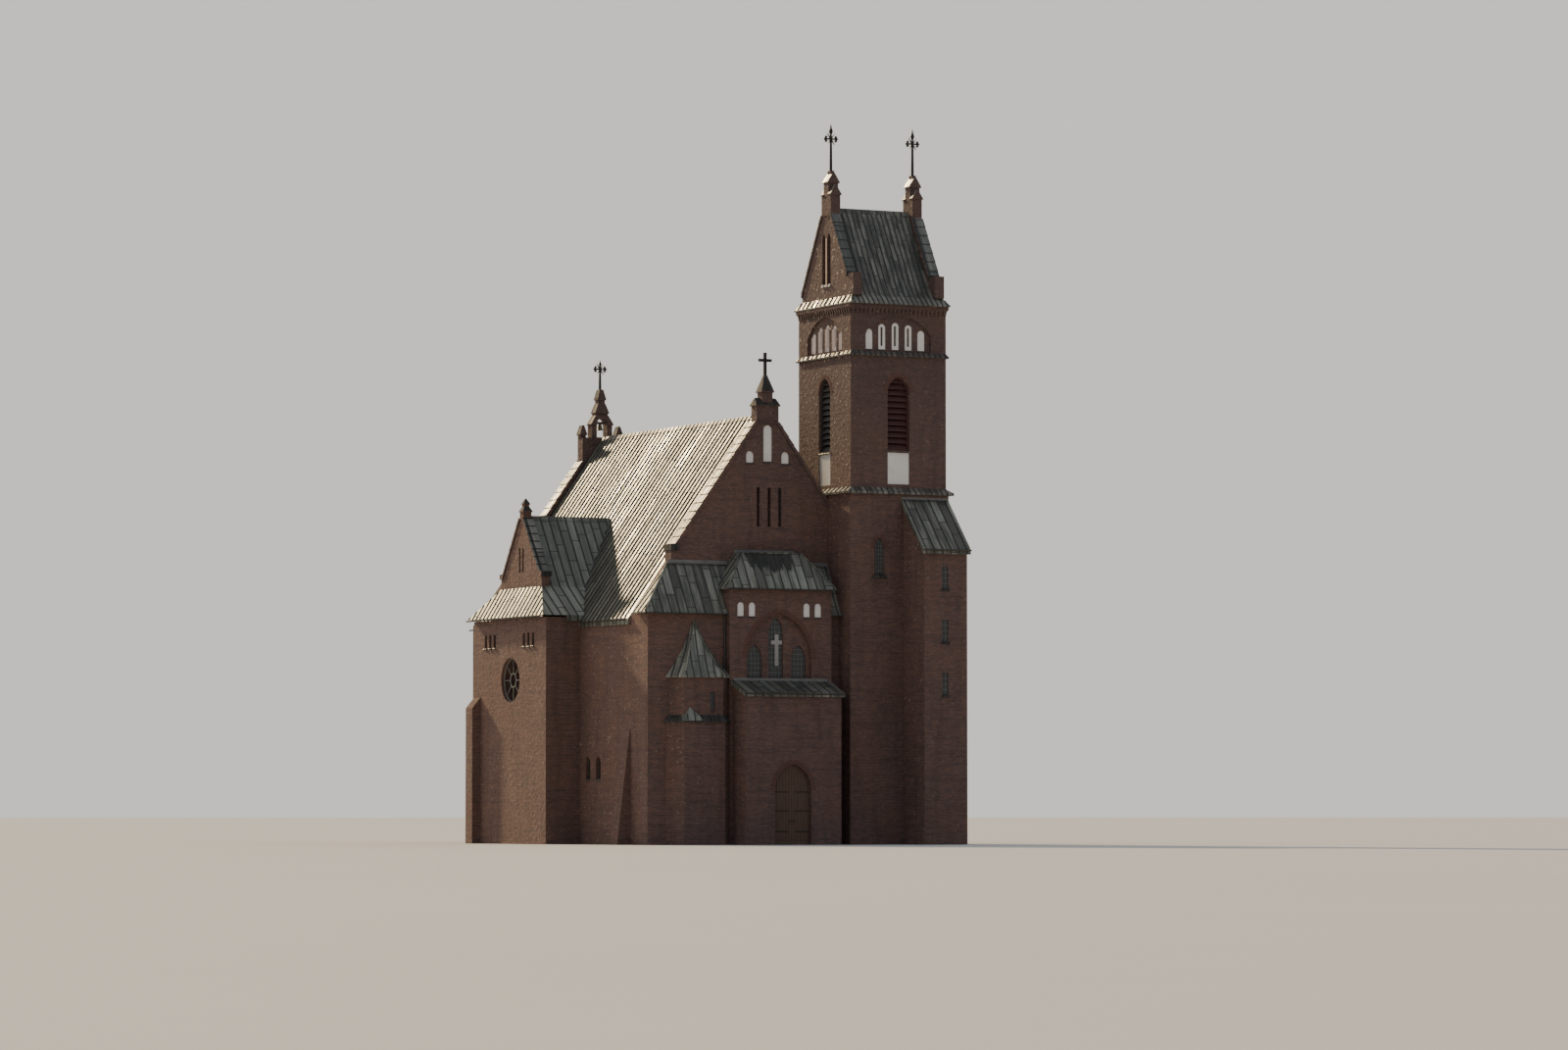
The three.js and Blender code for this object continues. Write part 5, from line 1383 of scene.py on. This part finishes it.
# %% Cap of the gable's foot and the pyramid on the ledge
CAP_OUTLINE = [(-9.57, 15.68), (-9.57, 16.04), (-9.2, 16.06), (-9.06, 15.9), (-9.06, 15.68)]
CAP_DEPTHS = (-0.09, 0.84)
foot_cap = drawn_piece("gable_foot_cap", [gable_wall.slab(CAP_OUTLINE, *CAP_DEPTHS)])
close_piece(foot_cap, copper_cap, 0.01)
LEDGE_TOP = 6.57
LEDGE_CORNERS = [(-10.19, 0.55), (-9.91, 0.07), (-8.7, 0.07), (-9.08, 0.71)]
pyramid_base = [at(x, y, LEDGE_TOP) for x, y in LEDGE_CORNERS]
PYRAMID_RISE = Vector((0, 0, 0.72))
pyramid = drawn_piece("ledge_pyramid", [(pyramid_base, PYRAMID_RISE)])
bpy.ops.mesh.merge(type="CENTER")
close_piece(pyramid, copper_cant)

# %% [markdown]
# ## Gutters and pipes
# Half-round gutters hang along the level eaves and two downpipes come down in the corners
# beside the portal bay. A gutter is the same profile at every eave, drawn as a thin half ring.

# %% Gutters
ZINC = ((0.085, 0.085, 0.078, 1), (0.045, 0.045, 0.042, 1))
zinc = worn_finish("gutter_zinc", ZINC, 1.5, 0.8, 0.5, 0.5)


def gutter_profile(z, radius=0.075, wall=0.012):
    """A half ring hanging from a height, its back edge at the eave."""
    turns = [math.pi * (1 + i / 6) for i in range(7)]
    outer, inner = [
        [(r * math.cos(a) - radius, z + r * math.sin(a)) for a in turns] for r in (radius, radius - wall)
    ]
    return outer + inner[::-1]


# Each wall has its runs, from and to along it, and the height of their eave.
GUTTERS = [
    (Wall("x", 0.85, 1), [(-11.8, -6.97), (-0.82, -0.12)], 12.3),
    (Wall("x", 0.45, 1), [(-7.13, -0.66)], 13.66),
    (Wall("x", -1.05, 1), [(-6.88, -0.92)], 8.05),
    (Wall("x", -2.6, 1), [(3.02, 5.92)], 15.82),
    (Wall("y", -13.9, 1), [(9.4, 19.4)], 12.36),
    (Wall("y", 6.3, -1), [(9.4, 19.4)], 12.36),
    (Wall("y", -11.67, 1), [(3.3, 9.3), (19.5, 24.0)], 12.04),
    (Wall("y", 4.07, -1), [(6.3, 9.3), (19.5, 24.0)], 12.04),
    (Wall("y", -8.55, 1), [(24.05, 29.7)], 10.56),
    (Wall("y", 0.95, -1), [(24.05, 29.7)], 10.56),
    (Wall("x", 33.15, -1), [(-6.4, -1.2)], 10.56),
]
gutters = [wall.rail(*run, gutter_profile(z)) for wall, runs, z in GUTTERS for run in runs]
close_piece(drawn_piece("gutters", gutters), zinc)

# %% Downpipes
PIPE_X, PIPE_Y = -7.04, 1.06
PIPE_RADIUS = 0.055
PIPE_LENGTH, PIPE_MIDDLE = 12.1, 6.15
CLIPS, LOWEST_CLIP, CLIP_PITCH = 6, 0.9, 2.1
deselect()
pipe = {"vertices": 12, "radius": PIPE_RADIUS, "depth": PIPE_LENGTH}
bpy.ops.mesh.primitive_cylinder_add(location=at(PIPE_X, PIPE_Y, PIPE_MIDDLE), **pipe)
left_pipe = open_piece("left_downpipe")
clip = {"major_radius": PIPE_RADIUS + 0.01, "minor_radius": 0.014}
clip.update(major_segments=12, minor_segments=5)
for i in range(CLIPS):
    place = at(PIPE_X, PIPE_Y, LOWEST_CLIP + CLIP_PITCH * i)
    bpy.ops.mesh.primitive_torus_add(location=place, **clip)
add_bar(at(PIPE_X, PIPE_Y, 12.15), at(PIPE_X, 0.82, 12.26), Vector((0, 0.3, 1)), 0.1, 0.1)
close_piece(left_pipe, zinc, 0.004)
moved_copy(left_pipe, "right_downpipe", (6.29, 0, 0))

# %% [markdown]
# ## Corbels under the tower's eaves
# Small bricks step out below the eaves and make a fine row of upright lines. One corbel is a
# short bar that leans outward with the cornice, repeated along each wall.

# %% Corbels
CORBEL_REACH = {"x": 2.8, "y": 2.93}
CORBEL_GAPS = 22
CORBEL_FOOT, CORBEL_TOP, CORBEL_OUT = 28.62, 28.99, -0.09
corbels = []
for wall, mid in TOWER_WALLS.values():
    for i in range(CORBEL_GAPS + 1):
        u = mid + CORBEL_REACH[wall.along] * (2 * i / CORBEL_GAPS - 1)
        ends = (wall.point(u, CORBEL_FOOT), wall.point(u, CORBEL_TOP, CORBEL_OUT))
        corbels.append((*ends, wall.into(-1)))
close_piece(lay_bars("eaves_corbels", corbels, 0.12, 0.045), brick, 0.006)

# %% [markdown]
# ## Porch doors
# The doors are two leaves of upright planks on strap hinges, with a ring to pull. The planks
# reach up to the arch, so each is cut off at the arch's height over it.

# %% Planks, straps and rings
PLANKS = 12
DOOR_MID, DOOR_HALF, DOOR_SPRING, DOOR_APEX = -3.95, 1.06, 2.9, 4.26
STRAP_DEPTH = -0.02
HANDLE_HEIGHT = 1.25
door_wall = Wall("x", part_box("porch_doors")[0][1] - ORIGIN_SHIFT.y, 1)
door_radius, _ = arch_arc(DOOR_HALF, DOOR_SPRING, DOOR_APEX)
planks = []
for i in range(PLANKS):
    u = DOOR_HALF * ((2 * i + 1) / PLANKS - 1)
    reach = abs(u) + DOOR_HALF / PLANKS + door_radius - DOOR_HALF
    top = DOOR_SPRING + math.sqrt(max(0.0, door_radius**2 - reach**2))
    planks.append(door_wall.bar((DOOR_MID + u, 0.2), (DOOR_MID + u, top - 0.02)))
close_piece(lay_bars("porch_door_planks", planks, 0.165, 0.02), oak, 0.006)
straps = []
for z in (0.7, 1.8, 2.8):
    for side in (-1, 1):
        ends = [(DOOR_MID + side * reach, z) for reach in (DOOR_HALF - 0.02, 0.2)]
        straps.append(door_wall.bar(*ends, STRAP_DEPTH))
door_iron = lay_bars("porch_door_ironwork", straps, 0.05, 0.01)
ring = {"major_radius": 0.06, "minor_radius": 0.009, "major_segments": 16, "minor_segments": 6}
for side in (-1, 1):
    place = door_wall.point(DOOR_MID + side * 0.12, HANDLE_HEIGHT, -0.035)
    bpy.ops.mesh.primitive_torus_add(location=place, rotation=(math.radians(90), 0, 0), **ring)
close_piece(door_iron, iron)

# %% [markdown]
# ## The bell's fittings
# A clapper hangs inside the bell and two pairs of straps hold the bell to its yoke. They
# swing with the bell, so they ride on its body.

# %% Clapper and straps
deselect()
clapper_rod = {"vertices": 8, "radius": 0.011, "depth": 0.27}
bpy.ops.mesh.primitive_cylinder_add(location=at(NAVE_MID, BELL_Y, 23.77), **clapper_rod)
clapper = open_piece("bell_clapper")
ball = {"segments": 12, "ring_count": 8, "radius": 0.034}
bpy.ops.mesh.primitive_uv_sphere_add(location=at(NAVE_MID, BELL_Y, 23.64), **ball)
close_piece(clapper, iron, body="bell")
STRAP_FOOT, STRAP_TOP = 23.93, 24.085
strap_bars = []
for x in (NAVE_MID - 0.07, NAVE_MID + 0.07):
    for side in (-1, 1):
        y = BELL_Y + side * 0.048
        strap_bars.append((at(x, y, STRAP_FOOT), at(x, y, STRAP_TOP), Vector((0, side, 0))))
close_piece(lay_bars("bell_straps", strap_bars, 0.03, 0.006), iron, body="bell")
